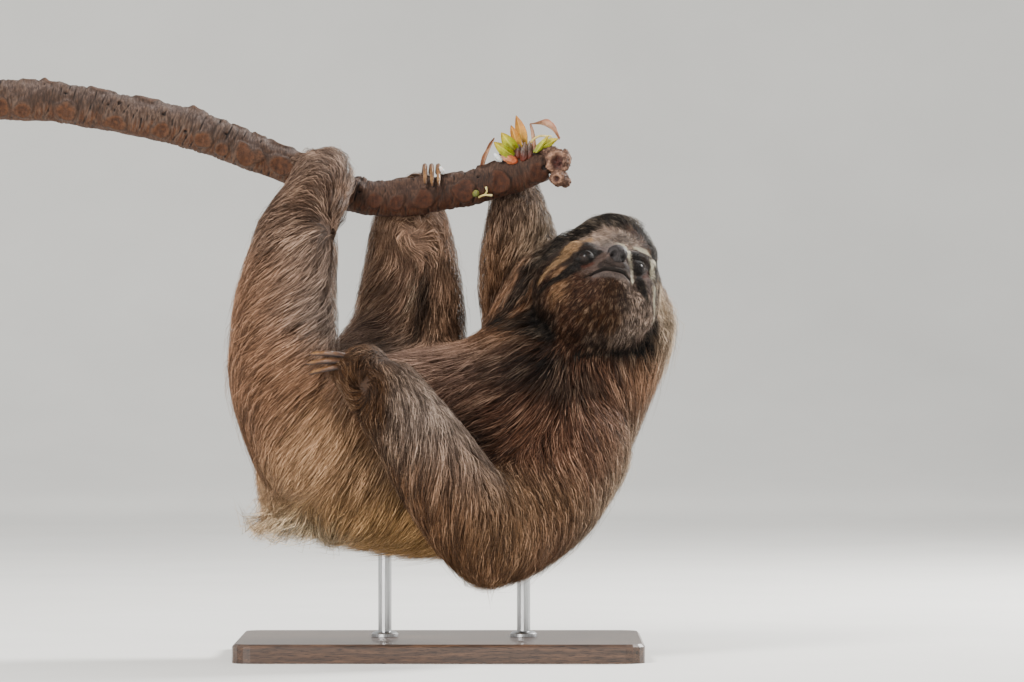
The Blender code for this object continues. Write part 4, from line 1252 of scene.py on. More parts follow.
FACE_FRONT = 12.0  # millimetres forward of the head's middle where the face begins
CHIN_TOP = -9.0  # and how far up of it the chin and cheeks begin
COAT_PIECES = {  # the nodes each covers, and how many tufts
    "coat_face": (["head"], 14500),
    "coat_crown": (["ear_left", "ear_right"], 13600),
    "coat_chin": ([], 14500),
    "coat_neck": (["neck"], 15000),
    "coat_trunk": (["trunk", "tail"], 16800),
    "coat_upper_arm_left": (["upper_arm_left"], 14400),
    "coat_forearm_left": (["forearm_left", "hand_left"], 15200),
    "coat_arm_right": (["upper_arm_right", "forearm_right", "hand_right"], 9000),
    "coat_thigh_left": (["thigh_left"], 14400),
    "coat_shank_left": (["shank_left", "foot_left"], 13200),
    "coat_leg_right": (["thigh_right", "shank_right", "foot_right"], 9400),
}
FIRST_SEED = 11


def piece_of_faces(faces):
    """For each face of the skin, the number of the coat piece it grows."""
    spots, owners = [], []
    for number, (covered, _) in enumerate(COAT_PIECES.values()):
        for node in covered:
            carved, _ = arrays_of(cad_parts[node].data)
            spots.append(carved)
            owners += [number] * len(carved)
    middles = skin_places[faces].mean(axis=1)
    made = np.array(owners)[finder(np.vstack(spots))(middles)]
    head = in_head(middles)
    of_head = made < 2  # the face and the crown come first in the list
    made[of_head & (head[:, 1] < FACE_FRONT)] = 1
    made[of_head & (head[:, 1] >= FACE_FRONT)] = 0
    made[of_head & (head[:, 2] < CHIN_TOP)] = 2
    return made


def unwrapped(faces):
    """Where each corner of these faces lies on a flat pattern of the skin."""
    used, local = np.unique(faces, return_inverse=True)
    mesh = bpy.data.meshes.new("pattern")
    mesh.from_pydata(skin_places[used].tolist(), [], local.reshape(-1, 3).tolist())
    obj = new_object("pattern", mesh)
    bpy.context.view_layer.objects.active = obj
    obj.select_set(True)
    bpy.ops.object.mode_set(mode="EDIT")
    bpy.ops.mesh.select_all(action="SELECT")
    bpy.ops.uv.smart_project(angle_limit=math.radians(66), island_margin=0.004)
    bpy.ops.object.mode_set(mode="OBJECT")
    uv = np.empty(len(mesh.loops) * 2)
    mesh.uv_layers.active.data.foreach_get("uv", uv)
    bpy.data.objects.remove(obj)
    return uv.reshape(-1, 3, 2)


hair, tree, shader = new_material("hair", 0.55, Specular_IOR_Level=0.2)
along = value_of(tree, "along")
# Painted shade: each hair is darker towards its root, as shade deep in the coat.
rise = ramp(tree, along, (0.0, (176, 170, 166)), (0.35, (228, 226, 224)), (0.8, WHITE))
weather = ramp(tree, noise(tree, 420, 4.0, 0.65), (0.3, (205, 196, 186)), (0.62, WHITE))
feed(
    tree, shader,
    Base_Color=tinted(tree, colour_of(tree, "dye"), rise, weather),
    Normal=bump(tree, noise(tree, 2600, 2.0), 0.06),
)

skin_faces = np.empty(len(skin.data.polygons) * 3, np.int32)
skin.data.polygons.foreach_get("vertices", skin_faces)
skin_faces = skin_faces.reshape(-1, 3)
grower = piece_of_faces(skin_faces)
for number, (name, (_, count)) in enumerate(COAT_PIECES.items()):
    faces = skin_faces[grower == number]
    dressed(tufts(name, faces, unwrapped(faces), count, FIRST_SEED + number), hair, "coat")

# ---------------------------------------------------------------- the claws
# Long hooks of brown horn, paler towards the end, three to a limb, thick to near
# the tip, with fine grooves along them. Each is rounded off from its carved node
# and set in the fur of its hand or foot.

CLAW_GRID = 0.55  # mm between a claw's points
CLAW_EASING = 10  # rounds of easing that take the carved edges off
CLAW_SWELL = (0.6, 1.0)  # how much fuller than the carved claw, at root and tip, mm
FAR_CLAW_REACH = 6.5  # how much further the far foot's claws hang over the branch, mm
HAND_CLAWS_TOP = 222.5  # height of the hand's top claw, mm
CLOSED_UP = 0.4  # how far the hand's other claws close up to the top one
HAND_CLAW_SHIFT = (2.0, 4.5)  # how far they reach on, at root and tip, mm
HAND_CLAW_ARCH = 1.6  # and how much higher they are half way, mm
HAND_CLAW_DROP = 0.8  # and how much lower at the tip, mm

horn, tree, shader = new_material("claw_horn", 0.38, Specular_IOR_Level=0.5, Coat_Weight=0.2)
tone = ramp(
    tree, value_of(tree, "along"), (0.0, (46, 26, 13)), (0.25, (80, 49, 24)),
    (0.6, (116, 77, 41)), (0.88, (158, 116, 70)), (1.0, (94, 60, 32)),
)
across = add(tree, "CombineXYZ", {"X": value_of(tree, "round")}).outputs["Vector"]
grooves = add(
    tree, "TexWave",
    {"Vector": across, "Scale": 9.0, "Distortion": 2.0, "Detail": 3.0, "Detail Scale": 2.0},
).outputs["Fac"]
stain = ramp(tree, noise(tree, 320, 4.0, 0.7), (0.3, (150, 120, 96)), (0.55, WHITE))
# Painted shade: the horn is darker where it faces down.
lit_from_above = share_of(tree, facing(tree, "Z"), -0.7, 0.4)
tone = tinted(tree, tone, stain, ramp(tree, lit_from_above, (0.0, (120, 100, 84)), (1.0, WHITE)))
lines = ramp(tree, grooves, (0.2, (150, 130, 110)), (0.6, WHITE))
feed(
    tree, shader,
    Base_Color=mixed(tree, 0.35, tone, lines, "MULTIPLY"),
    Normal=bump(tree, grooves, 0.12, bump(tree, noise(tree, 900), 0.05)),
)

for node in sorted(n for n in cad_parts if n.startswith("claw_")):
    holder = node[len("claw_"):-2]
    claw = rounded(node, node.replace("claw", "horn"), CLAW_GRID, CLAW_EASING)
    places, normals = arrays_of(claw.data)
    root = places[np.argmax(lengths(places - places.mean(axis=0)))]
    tip = places[np.argmax(lengths(places - root))]
    hub = np.array(middle_of(holder))
    if lengths(root - hub) > lengths(tip - hub):
        root, tip = tip, root
    away = lengths(places - root)
    along = away / away.max()
    places = places + normals * (between(CLAW_SWELL, step_up(0, 0.8, along)) * MM)[:, None]
    if holder == "foot_right":
        places[:, 2] -= FAR_CLAW_REACH * MM * step_up(0.45, 1, along)
    if holder == "hand_left":
        places[:, 2] += CLOSED_UP * (HAND_CLAWS_TOP * MM - places[:, 2].mean())
        places[:, 2] += (HAND_CLAW_ARCH * np.sin(math.pi * along) - HAND_CLAW_DROP * along) * MM
        places[:, 0] += between(HAND_CLAW_SHIFT, along) * MM
    put_back(claw.data, places)
    side = np.cross(unit(tip - root), (0, 0, 1))
    paint(claw.data, "along", along)
    paint(claw.data, "round", (places - places.mean(axis=0)) @ side / (2 * MM))
    dressed(claw, horn, "claw_horn", node)

# ---------------------------------------------------------------- the branch
# A cut length of living wood, thick as a broom handle, with the knobby oval scars
# of fallen leaves, wrinkles of bark ringing it between them, and pits. It runs
# on to a growing tip with stubs where old leaves broke off.

BRANCH = [  # x, y, z of its middle, and its radius, mm
    (-340, 0, 413, 16.2), (-289, 2, 411, 15.2), (-252, 2, 405, 15.6), (-215, 1, 398, 15.2),
    (-182, 0, 390, 14.9), (-148, 0, 377, 14.5), (-104, 0, 360, 13.6), (-62, 0, 342, 13.4),
    (-30, 0, 340, 14.2), (11, 0, 345, 13.2), (44, 0, 354, 14.2), (67, 0, 361, 13.0),
    (79, 0, 364, 11.5),
]
BRANCH_RINGS = 500
BRANCH_SIDES = 120
UNDER_BARK = 0.6  # how far below the radius above the relief begins, mm
ROUNDED_FROM = 76  # the x at which the growing end rounds off, and over how far, mm
ROUNDED_OVER = 6.5
YEARS_TO_A_METRE = 5200.0  # of the wood's rings, as radians to a metre
# Scars on the side towards the animal's face: x, height off the middle line,
# half length, half height, and how hollow it is, mm.
SCARS = [
    (-326, -7, 7, 8, 0.5), (-309, -8, 8, 7.5, 0.3), (-275, -8, 9, 7.5, 0.4),
    (-238, -7, 9.5, 7, 0.5), (-204, -6, 7, 8, 0.9), (-173, -5, 6.5, 7, 0.4),
    (-159, -7, 5, 6, 0.8), (-142, -6, 9, 7, 0.4), (-117, -3, 8, 7, 0.3),
    (-48, -2, 7.5, 7, 0.5), (-32, -4, 5, 6.5, 0.3), (-12.5, -4, 7, 7.5, 0.6),
    (17.8, -4, 5.8, 8, 0.5), (43.8, -4, 5.4, 9.2, 0.9), (72, -4, 8, 9.2, 0.4),
]
SCAR_TURNS = ((9, 122), (20, -118), (30, 180))  # mm on and degrees round, for hidden sides
PITS = [  # x, height off the middle line, and half width, mm
    (77, -1.5, 2.4), (-278, 8, 1.2), (-238, 8, 1.6), (-205, 6, 1.2), (-160, 6, 1.1),
    (-246, 5, 0.9), (-187, -3, 1.3), (-60, 3, 1.4), (-4, 6, 1.0), (30, 6, 1.1),
]
KNOBS = [  # the same, then how far it stands out, mm
    (-295, 15.5, 3.4, 1.8), (-186, 15.5, 4.5, 1.6), (-166, 14.5, 4.0, 1.3), (-62, 13.5, 5, 1.6),
]


def through(stations, count):
    """Points at even steps along a smooth line through all the stations."""
    points = np.array(stations, float)
    points = np.vstack([2 * points[0] - points[1], points, 2 * points[-1] - points[-2]])
    made = []
    for place in np.linspace(0, len(points) - 3 - 1e-9, count):
        i, t = int(place), place % 1
        a, b, c, d = points[i:i + 4]
        made.append(0.5 * (2 * b + (c - a) * t + (2 * a - 5 * b + 4 * c - d) * t * t
                           + (3 * b - a - 3 * c + d) * t**3))
    return np.array(made)


def tube_faces(rings, sides):
    """The faces of a closed tube; its ends are the last two points."""
    faces = []
    for i in range(rings - 1):
        for j in range(sides):
            k = (j + 1) % sides
            faces.append((i * sides + j, i * sides + k, (i + 1) * sides + k, (i + 1) * sides + j))
    first, last = rings * sides, rings * sides + 1
    for j in range(sides):
        k = (j + 1) % sides
        faces.append((first, k, j))
        faces.append((last, (rings - 1) * sides + j, (rings - 1) * sides + k))
    return faces


def built(name, points, faces):
    """A closed mesh of triangles from its points and faces."""
    mesh = bpy.data.meshes.new(name)
    mesh.from_pydata(points.tolist(), [], faces)
    work = bmesh.new()
    work.from_mesh(mesh)
    bmesh.ops.recalc_face_normals(work, faces=work.faces)
    return mesh_of(work, name)


def tube(name, path, radius, turn, tip_out=0.0):
    """A closed tube along a path, with a radius for each ring and turn; all in mm."""
    on = unit(np.gradient(path, axis=0))
    up = unit(np.array([0, 0, 1.0]) - on * on[:, 2:3])
    out = np.cos(turn)[..., None] * up[:, None] + np.sin(turn)[..., None] * np.cross(on, up)[:, None]
    points = path[:, None] + radius[..., None] * out
    points = np.vstack([points.reshape(-1, 3), path[:1], path[-1:] + tip_out * on[-1:]])
    return built(name, points * MM, tube_faces(*turn.shape))


def wrinkle(at, seed, pitch, sway):
    """Creases that ring the branch, one in about each pitch; 1 in a crease."""
    rng = np.random.default_rng(seed)
    s, turn = at
    bend = np.zeros_like(s)
    for wave in range(1, 5):
        a, b = rng.uniform(0, 2 * math.pi, 2)
        bend += sway / wave * np.sin(wave * turn + a + 0.9 * np.sin(s / 17 + b))
        bend += 0.7 * sway * np.sin(s / (5.0 * wave) + b)
    return hump(np.sin(math.pi * (s + bend) / pitch), 0, 0.32)


def turns(rings, sides):
    """Each point's way round its ring, from the top."""
    return np.broadcast_to(np.linspace(0, 2 * math.pi, sides, endpoint=False), (rings, sides))


stations = through(BRANCH, BRANCH_RINGS)
path, radius = stations[:, :3], stations[:, 3]
turn = turns(BRANCH_RINGS, BRANCH_SIDES)
s = np.broadcast_to(path[:, :1], turn.shape)


def patch_at(x, rise, half_along, half_round, extra_turn=0.0):
    """How far each point is from a patch's middle: 1 at the patch's edge."""
    here = np.interp(x, path[:, 0], radius)
    middle = math.pi / 2 - math.asin(max(-1, min(1, rise / here))) + extra_turn
    round_it = (turn - middle + math.pi) % (2 * math.pi) - math.pi
    return np.hypot((s - x) / half_along, round_it * here / half_round)


rough = np.zeros(s.shape)
rng = np.random.default_rng(21)
for wave in range(14):
    a, b, c = rng.normal(0, 1, 3) * (0.12 + 0.03 * wave)
    on_ring = s * a + radius.mean() * (np.cos(turn) * b + np.sin(turn) * c)
    rough += np.sin(on_ring + rng.uniform(0, 2 * math.pi)) / (1 + 0.25 * wave) / 3
relief, scar, face, inside, pit = np.zeros((5, *s.shape))
for x, rise, half_along, half_round, deep in SCARS:
    for shift, degrees in ((0, 0), *SCAR_TURNS):
        size = 1.0 if degrees == 0 else 0.9
        off = patch_at(x + shift, rise, half_along * size, half_round * size, math.radians(degrees))
        off = off * (1 + 0.32 * rough) + 0.06 * rough
        relief = np.maximum(relief, 1.4 * (1 - step_up(0.7, 1.4, off)))  # its swollen pad
        relief += 0.3 * hump(off, 0.95, 0.15)  # its rim
        relief -= (deep + 0.3) * (1 - step_up(0.2, 0.85, off))  # its hollow
        scar = np.maximum(scar, 1 - step_up(0.75, 1.5, off))
        face = np.maximum(face, 1 - step_up(0.95, 1.2, off))
        inside = np.maximum(inside, np.clip(1.25 - off, 0, 1.25) / 1.25)
bark = 1 - 0.85 * scar
creases = 0.7 * wrinkle((s, turn), 5, 6.3, 2.0) + 0.6 * wrinkle((s, turn), 8, 3.3, 1.5)
creases *= step_up(-0.8, 0.4, rough + 0.5 * np.sin(s / 15))
relief -= 1.0 * creases * bark
# Painted sheen: the crests beside the creases are painted lighter, as light catches them.
ridge_sheen = np.clip(3.2 * creases * (1 - creases), 0, 0.8) * bark * step_up(-0.4, 0.6, rough)
relief += 0.9 * rough * (1 - 0.6 * face)
relief += 0.5 * np.sin(s / 9.0 + 2 * np.sin(turn)) * np.sin(2 * turn + s / 23.0)
for x, rise, size in PITS:
    pit = np.maximum(pit, 1 - step_up(0.5, 1.2, patch_at(x, rise, size, size)))
relief -= 1.8 * pit
for x, rise, size, height in KNOBS:
    relief += height * (1 - step_up(0.2, 1.3, patch_at(x, rise, size, size * 0.8)))
end = np.sqrt(1 - np.clip((path[:, 0] - ROUNDED_FROM) / ROUNDED_OVER, 0, 0.98) ** 2)
grown = (radius[:, None] - UNDER_BARK + relief) * end[:, None]
wood = tube("limb_of_tree", path, grown, turn, 0.6)
layers = {"scar_in": inside, "ridge_sheen": 0.8 * ridge_sheen, "scar": 0.75 * face, "crease": creases * bark + pit}
for title, values in layers.items():
    paint(wood, title, np.append(values.reshape(-1), [0, 0]))

bark_stuff, tree, shader = new_material("bark", 0.78, Specular_IOR_Level=0.3)
looks_up = facing(tree, "Z")
streaks = noise(tree, 900, 5.0, 0.7, place_in(tree, (1.0, 0.25, 0.25)))
patches = noise(tree, 90, 4.0)
brown = ramp(tree, streaks, (0.3, (28, 18, 12)), (0.5, (54, 37, 26)), (0.68, (84, 61, 45)))
# Painted light: greyer in patches where the top of the branch faces the sky, as light from above.
sky_lit_grey = ramp(tree, streaks, (0.3, (46, 37, 33)), (0.5, (80, 67, 61)), (0.7, (122, 108, 101)))
rusty = ramp(tree, streaks, (0.3, (46, 25, 12)), (0.5, (80, 48, 26)), (0.7, (112, 76, 46)))
sky_lit_top = reckon(tree, "MULTIPLY", share_of(tree, looks_up, 0.0, 0.8), patches)
underside = reckon(tree, "MULTIPLY", share_of(tree, looks_up, 0.1, -0.6), patches)
tone = mixed(tree, share_of(tree, underside, 0.1, 0.5), brown, rusty)
tone = mixed(tree, share_of(tree, sky_lit_top, 0.15, 0.5), tone, sky_lit_grey)
pad = ramp(
    tree, value_of(tree, "scar_in"), (0.0, (40, 28, 21)), (0.16, (68, 50, 38)),
    (0.26, (96, 72, 56)), (0.4, (104, 67, 39)), (0.75, (84, 51, 28)), (1.0, (114, 74, 42)),
)
flecks = noise(tree, 420, 4.0, 0.6)
flecks = ramp(tree, flecks, (0.3, (130, 118, 110)), (0.55, (225, 220, 215)), (0.7, (255, 250, 240)))
tone = mixed(tree, value_of(tree, "scar"), tone, tinted(tree, pad, flecks))
tone = mixed(tree, value_of(tree, "ridge_sheen"), tone, (*light_of((128, 108, 94)), 1))
# Painted shade: the bark is darker in its creases and pits.
deep = ramp(tree, value_of(tree, "crease"), (0.15, WHITE), (0.8, (104, 88, 78)))
onward = part_of(tree, place_in(tree), "X")
newer = ramp(tree, share_of(tree, onward, -0.12, -0.05), (0.0, (214, 207, 204)), (1.0, (186, 160, 142)))
tone = tinted(tree, tone, deep, newer)
# The sawn end: pale wood with its year rings.
off_middle = add(
    tree, "VectorMath", {0: place_in(tree, (0.0, 1.0, 1.0)), 1: (0, *path[0, 1:] * MM)},
    operation="DISTANCE",
).outputs["Value"]
years = reckon(tree, "SINE", reckon(tree, "MULTIPLY", off_middle, YEARS_TO_A_METRE))
at_end = share_of(tree, onward, (path[0, 0] + 1) * MM, path[0, 0] * MM)
sawn = reckon(tree, "MULTIPLY", share_of(tree, facing(tree, "X"), -0.9, -0.97), at_end)
feed(
    tree, shader,
    Base_Color=mixed(tree, sawn, tone, ramp(tree, years, (0.0, (176, 140, 98)), (1.0, (206, 176, 134)))),
    Normal=bump(tree, streaks, 0.5, bump(tree, noise(tree, 1500, 4.0, 0.7), 0.25)),
)
dressed(new_object("limb_of_tree", wood), bark_stuff, "bark", "branch")

# Stubs at the growing tip: middle, half sizes, the way the broken face looks, and
# how wide it opens, in degrees.
STUBS = [
    ((86, -3, 366.5), (10.5, 9, 9.5), (0.22, -0.95, -0.12), 44),
    ((93, -4, 368), (3.8, 6, 8), (1, -0.3, 0.1), 14),
    ((88.5, -7, 354.5), (6.8, 6.5, 6.5), (-0.35, -0.9, -0.15), 28),
    ((93, -6, 352), (4, 5, 4.5), (0.9, -0.4, -0.2), 16),
    ((81, -2, 374), (8, 6, 4.5), (0.1, 0.2, 1), 12),
]
stub_bark, tree, shader = new_material("stub_bark", 0.7, Specular_IOR_Level=0.35)
husk = noise(tree, 380, 5.0, 0.65)
tone = ramp(tree, husk, (0.3, (40, 26, 20)), (0.5, (78, 54, 42)), (0.7, (132, 100, 82)))
rim = ramp(tree, noise(tree, 600, 3.0), (0.3, (84, 56, 42)), (0.7, (158, 120, 96)))
tone = mixed(tree, value_of(tree, "rim"), tone, rim)
inner = ramp(tree, noise(tree, 500, 4.0), (0.3, (20, 10, 8)), (0.7, (72, 32, 22)))
feed(
    tree, shader,
    Base_Color=mixed(tree, value_of(tree, "hollow"), tone, inner),
    Normal=bump(tree, noise(tree, 900, 5.0, 0.7), 0.5),
)


def ball(name, fineness):
    """A ball with a radius of one."""
    work = bmesh.new()
    bmesh.ops.create_icosphere(work, subdivisions=fineness, radius=1)
    return mesh_of(work, name)


for number, (middle, halves, looks, wide) in enumerate(STUBS):
    stub = ball("stub_%d" % (number + 1), 5)
    places, _ = arrays_of(stub)
    off = np.degrees(np.arccos(np.clip(places @ unit(np.array(looks)), -1, 1)))
    off += 5 * drift(places, 70 + number, 1.1)[:, 2]
    size = 1 + 0.07 * drift(places, 40 + number, 0.9)[:, 0]
    size += 0.05 * drift(places, 50 + number, 0.3)[:, 1]
    size -= 0.42 * (1 - step_up(wide - 18, wide, off))  # its hollow
    size += 0.08 * hump(off, wide + 5, 7)  # its broken rim
    size -= 0.04 * hump(np.sin(np.radians(off) * 9), 0, 0.4) * step_up(50, 60, off)
    put_back(stub, (np.array(middle) + places * size[:, None] * halves) * MM)
    paint(stub, "hollow", 1 - step_up(wide - 14, wide, off))
    paint(stub, "rim", hump(off, wide + 5, 9))
    dressed(new_object(stub.name, stub), stub_bark, "bark")

# ---------------------------------------------------------------- the leaves
# A few young leaves at the tip, yellow and green, thin and cupped, with curled
# dry ones beside them, the red-brown buds they come from, and a small green fruit
# on its twig. Leaves are blades half a millimetre thick; stalks are thin tubes.

LEAF_ROWS, LEAF_COLUMNS = 40, 17
LEAVES = {  # root, tip, the way its width runs, width, bow, cup, wave, and tissue
    "leaf_tall": ((62, -1, 374), (56.4, -2, 401), (1, 0.3, 0.15), 10, 2, 0.5, 0.3, "leaf_yellow"),
    "leaf_cupped": ((57, -6, 374), (45.4, -9, 388), (0.76, -0.1, 0.63), 13, 4, 0.9, 0.6, "leaf_green"),
    "leaf_low": ((55, -9, 371), (40, -12, 381), (0.5, -0.25, 0.86), 10, 2, 0.7, 0.5, "leaf_green"),
    "leaf_right": (
        (69, -7, 373.5), (87.5, -10, 383.5), (-0.46, -0.2, 0.88), 9, 2, 0.8, 0.8, "leaf_green"
    ),
    "leaf_dry_over": (
        (88.5, -3, 383), (66.5, -3, 394.5), (-0.29, 0.8, -0.53), 8, 6.5, 0.9, 0.8, "leaf_dry"
    ),
    "leaf_inner": ((59, -6, 373), (52.5, -7, 393.5), (0.9, 0.1, 0.35), 9, 2, 0.9, 0.8, "leaf_yellow"),
    "leaf_small": ((71, -9, 373), (80.5, -12, 385.5), (-0.7, -0.1, 0.6), 5, 1, 0.8, 0.5, "leaf_green"),
    "leaf_dry_left": ((30.5, -2, 360), (40.5, -6, 384.5), (1, -0.4, 0.2), 5, 2, 1.4, 0.8, "leaf_dry"),
}
BUDS = {  # root, tip, half width in mm, how much thinner the tip is, and tissue
    "bud_core_1": ((57, -7, 368), (60, -6, 383), 3.4, 0.45, "bud_red"),
    "bud_core_2": ((61.5, -9, 366), (63, -8, 381), 3.6, 0.45, "bud_red"),
    "bud_core_3": ((66, -8, 367), (66.5, -6, 382), 2.8, 0.45, "bud_red"),
    "bud_scale_low": ((58, -9, 366), (45, -10, 370.5), 3.6, 0.45, "bud_orange"),
    "bud_white": ((46, -10, 366.5), (40, -9, 372.5), 2.2, 0.45, "bud_white"),
    "bud_far": ((3, -10, 357), (0, -10, 363), 1.7, 0.45, "bud_white"),
    "fruit_green": ((26.6, -13.2, 340), (26.6, -13.2, 345.4), 2.6, 0, "bud_olive"),
}
STALKS = {  # tissue, then x, y, z of its middle and its radius, mm
    "stalk_dry": ("leaf_dry", [(70, -5, 374, 2.0), (69.5, -5, 382, 1.6), (68.5, -5, 389, 1.3),
                               (67, -3.5, 394.5, 0.8)]),
    "stalk_pale": ("stalk", [(66, -6, 380, 1.0), (73, -6, 385.3, 0.9), (83, -5, 385.3, 0.8)]),
    "stalk_fruit": ("stalk", [(28.4, -12.6, 340, 0.9), (33, -12.8, 341.6, 0.7),
                              (38.7, -11.6, 341.5, 0.9)]),
    "stalk_twig": ("stalk", [(33, -12.8, 341.6, 0.6), (34.8, -13.2, 344.4, 0.6),
                             (34.2, -13.4, 347.8, 1.0)]),
}
STALK_RINGS, STALK_SIDES = 24, 12
TISSUES = {  # the shades at the root, half way, along the rib, and at the edge
    "leaf_yellow": ((140, 126, 30), (190, 138, 50), (206, 164, 78), (158, 100, 40)),
    "leaf_green": ((92, 100, 14), (156, 162, 26), (186, 184, 56), (168, 142, 36)),
    "leaf_dry": ((108, 66, 40), (164, 126, 100), (184, 150, 124), (104, 66, 44)),
    "bud_red": ((98, 36, 20), (58, 36, 28), (80, 54, 42), (118, 98, 86)),
    "bud_orange": ((140, 56, 24), (166, 96, 56), (180, 120, 88), (200, 156, 130)),
    "bud_white": ((176, 172, 168), (206, 210, 216), (220, 222, 226), (226, 230, 236)),
    "bud_olive": ((72, 78, 26), (94, 98, 34), (104, 108, 44), (122, 122, 56)),
    "stalk": ((170, 150, 84), (196, 180, 112), (206, 190, 128), (214, 200, 146)),
}
DEAD = ("leaf_dry", "bud_red")


def leaf_blade(root, tip, side, width, bow, cup, wave, seed):
    """A pointed blade, cupped across, with a fold down its middle; half a mm thick."""
    root, tip, side = (np.array(v, float) for v in (root, tip, side))
    ahead = unit(tip - root)
    side = unit(side - ahead * (side @ ahead))
    up = np.cross(side, ahead)
    t, a = np.meshgrid(np.linspace(0, 1, LEAF_ROWS), np.linspace(-1, 1, LEAF_COLUMNS), indexing="ij")
    half = width / 2 * np.sin(math.pi * (0.10 + 0.89 * t)) ** 0.8
    rng = np.random.default_rng(seed)
    p, q = rng.uniform(0, 2 * math.pi, 2)
    edge = wave * np.sin(9 * t + p) * np.abs(a) ** 2 * np.sign(a + 1e-9) * 0.9
    edge += 0.5 * wave * np.sin(17 * t + q) * a**2
    height = bow * np.sin(math.pi * t) + half * cup * a**2 * 0.8 + edge
    height -= 0.35 * hump(a, 0, 0.14)  # the midrib's fold
    height += 0.10 * np.cos(14 * math.pi * (t - 0.25 * np.abs(a))) * np.abs(a)  # veins
    across = half * a * (1 - 0.25 * cup * a**2)
    middle = root + (tip - root) * t[..., None]
    face = middle + side * across[..., None] + up * height[..., None]
    thick = 0.25 * (1 - 0.6 * a**8)[..., None]
    return face + up * thick, face - up * thick, t, a


def blade_mesh(name, upper, lower, t, a):
    rows, columns = t.shape
    points = np.vstack([upper.reshape(-1, 3), lower.reshape(-1, 3)]) * MM
    below = rows * columns
    faces = []
    for i in range(rows - 1):
        for j in range(columns - 1):
            k = i * columns + j
            quad = (k, k + 1, k + columns + 1, k + columns)
            faces.append(quad)
            faces.append(tuple(below + v for v in reversed(quad)))
    rim = list(range(columns))
    rim += [i * columns + columns - 1 for i in range(1, rows)]
    rim += [(rows - 1) * columns + j for j in range(columns - 2, -1, -1)]
    rim += [i * columns for i in range(rows - 2, 0, -1)]
    for v, w in zip(rim, rim[1:] + rim[:1]):
        faces.append((v, below + v, below + w, w))
    made = built(name, points, faces)
    paint(made, "along", np.tile(t.reshape(-1), 2))
    paint(made, "across", np.tile(np.abs(a).reshape(-1), 2))
    return made


def leaf_stuff(name, base, middle, rib, edge):
    """Leaf tissue: a fresh base, a vein's pale line, and a tired edge."""
    made, tree, shader = new_material(
        name, 0.5, Specular_IOR_Level=0.4, Subsurface_Weight=0.15, Subsurface_Scale=0.001
    )
    along, across = value_of(tree, "along"), value_of(tree, "across")
    body = ramp(tree, along, (0.0, base), (0.55, middle), (1.0, edge))
    blotch = ramp(tree, noise(tree, 300, 4.0), (0.3, (200, 190, 170)), (0.6, WHITE))
    vein = ramp(tree, across, (0.03, (190, 190, 190)), (0.14, (0, 0, 0)))
    tone = mixed(tree, vein, tinted(tree, body, blotch), (*light_of(rib), 1))
    margin = ramp(tree, across, (0.82, (0, 0, 0)), (1.0, (190, 190, 190)))
    feed(
        tree, shader,
        Base_Color=mixed(tree, margin, tone, (*light_of(edge), 1)),
        Normal=bump(tree, noise(tree, 1300, 3.0), 0.12),
    )
    return made


tissue_stuff = {name: leaf_stuff(name, *shades_of_it) for name, shades_of_it in TISSUES.items()}


def growing(name, mesh, tissue, *carved):
    """A finished leaf, bud or stalk in the tissue it is made of."""
    slot = "dry_leaf" if tissue in DEAD else "young_leaf"
    dressed(new_object(name, mesh), tissue_stuff[tissue], slot, *carved)


for number, (name, (*shape, tissue)) in enumerate(LEAVES.items()):
    blade = blade_mesh(name.replace("leaf", "blade"), *leaf_blade(*shape, 60 + number))
    carved = [name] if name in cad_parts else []
    growing(name.replace("leaf", "blade"), blade, tissue, *carved)

for number, (name, (root, tip, half, thinner, tissue)) in enumerate(BUDS.items()):
    bud = ball(name, 4)
    places, _ = arrays_of(bud)
    root, tip = np.array(root, float), np.array(tip, float)
    along = (places[:, 2] + 1) / 2
    swell = 1 + 0.10 * drift(places, 80 + number, 0.8)[:, 0]
    swell *= 1 - thinner * along**2
    ahead = Vector(tip - root)
    turned = np.array(ahead.to_track_quat("Z", "Y").to_matrix())
    shape = places * np.array([1, 1, 0]) * (half * swell)[:, None]
    shape[:, 2] = places[:, 2] * ahead.length / 2
    put_back(bud, ((root + tip) / 2 + shape @ turned.T) * MM)
    paint(bud, "along", along)
    paint(bud, "across", np.full(len(places), 0.5))
    growing(name, bud, tissue)

for name, (tissue, line) in STALKS.items():
    stations = through(line, STALK_RINGS)
    stalk = tube(name, stations[:, :3], stations[:, 3:], turns(STALK_RINGS, STALK_SIDES))
    along = np.repeat(np.linspace(0, 1, STALK_RINGS), STALK_SIDES)
    paint(stalk, "along", np.append(along, [0, 1]))
    paint(stalk, "across", np.full(len(stalk.vertices), 0.5))
    growing(name, stalk, tissue)

# ---------------------------------------------------------------- the stand
# A dark stained wooden board with a brushed steel rod at front and back, each in
# a turned collar, that carries the model's weight at the belly and the breast.

board, tree, shader = new_material("base_board", 0.42, Specular_IOR_Level=0.45, Coat_Weight=0.25)
along_grain = place_in(tree, (0.06, 1.0, 1.0))
grain = noise(tree, 420, 6.0, 0.65, along_grain)
pores = noise(tree, 1800, 3.0, 0.6, along_grain)
tone = ramp(tree, grain, (0.3, (40, 28, 21)), (0.5, (66, 46, 34)), (0.68, (92, 66, 48)))
tone = tinted(tree, tone, ramp(tree, pores, (0.38, (130, 120, 112)), (0.5, WHITE)))
feed(tree, shader, Base_Color=tone, Normal=bump(tree, pores, 0.08, bump(tree, grain, 0.1)))
steel, tree, shader = new_material("steel", 0.28, Metallic=1.0)
brushed = noise(tree, 2600, 4.0, 0.6, place_in(tree, (1.0, 1.0, 0.02)))
feed(
    tree, shader,
    Base_Color=ramp(tree, brushed, (0.3, (150, 152, 154)), (0.7, (196, 197, 198))),
    Roughness=add(tree, "MapRange", {"Value": brushed, "To Min": 0.2, "To Max": 0.4}).outputs["Result"],
    Normal=bump(tree, brushed, 0.02),
)
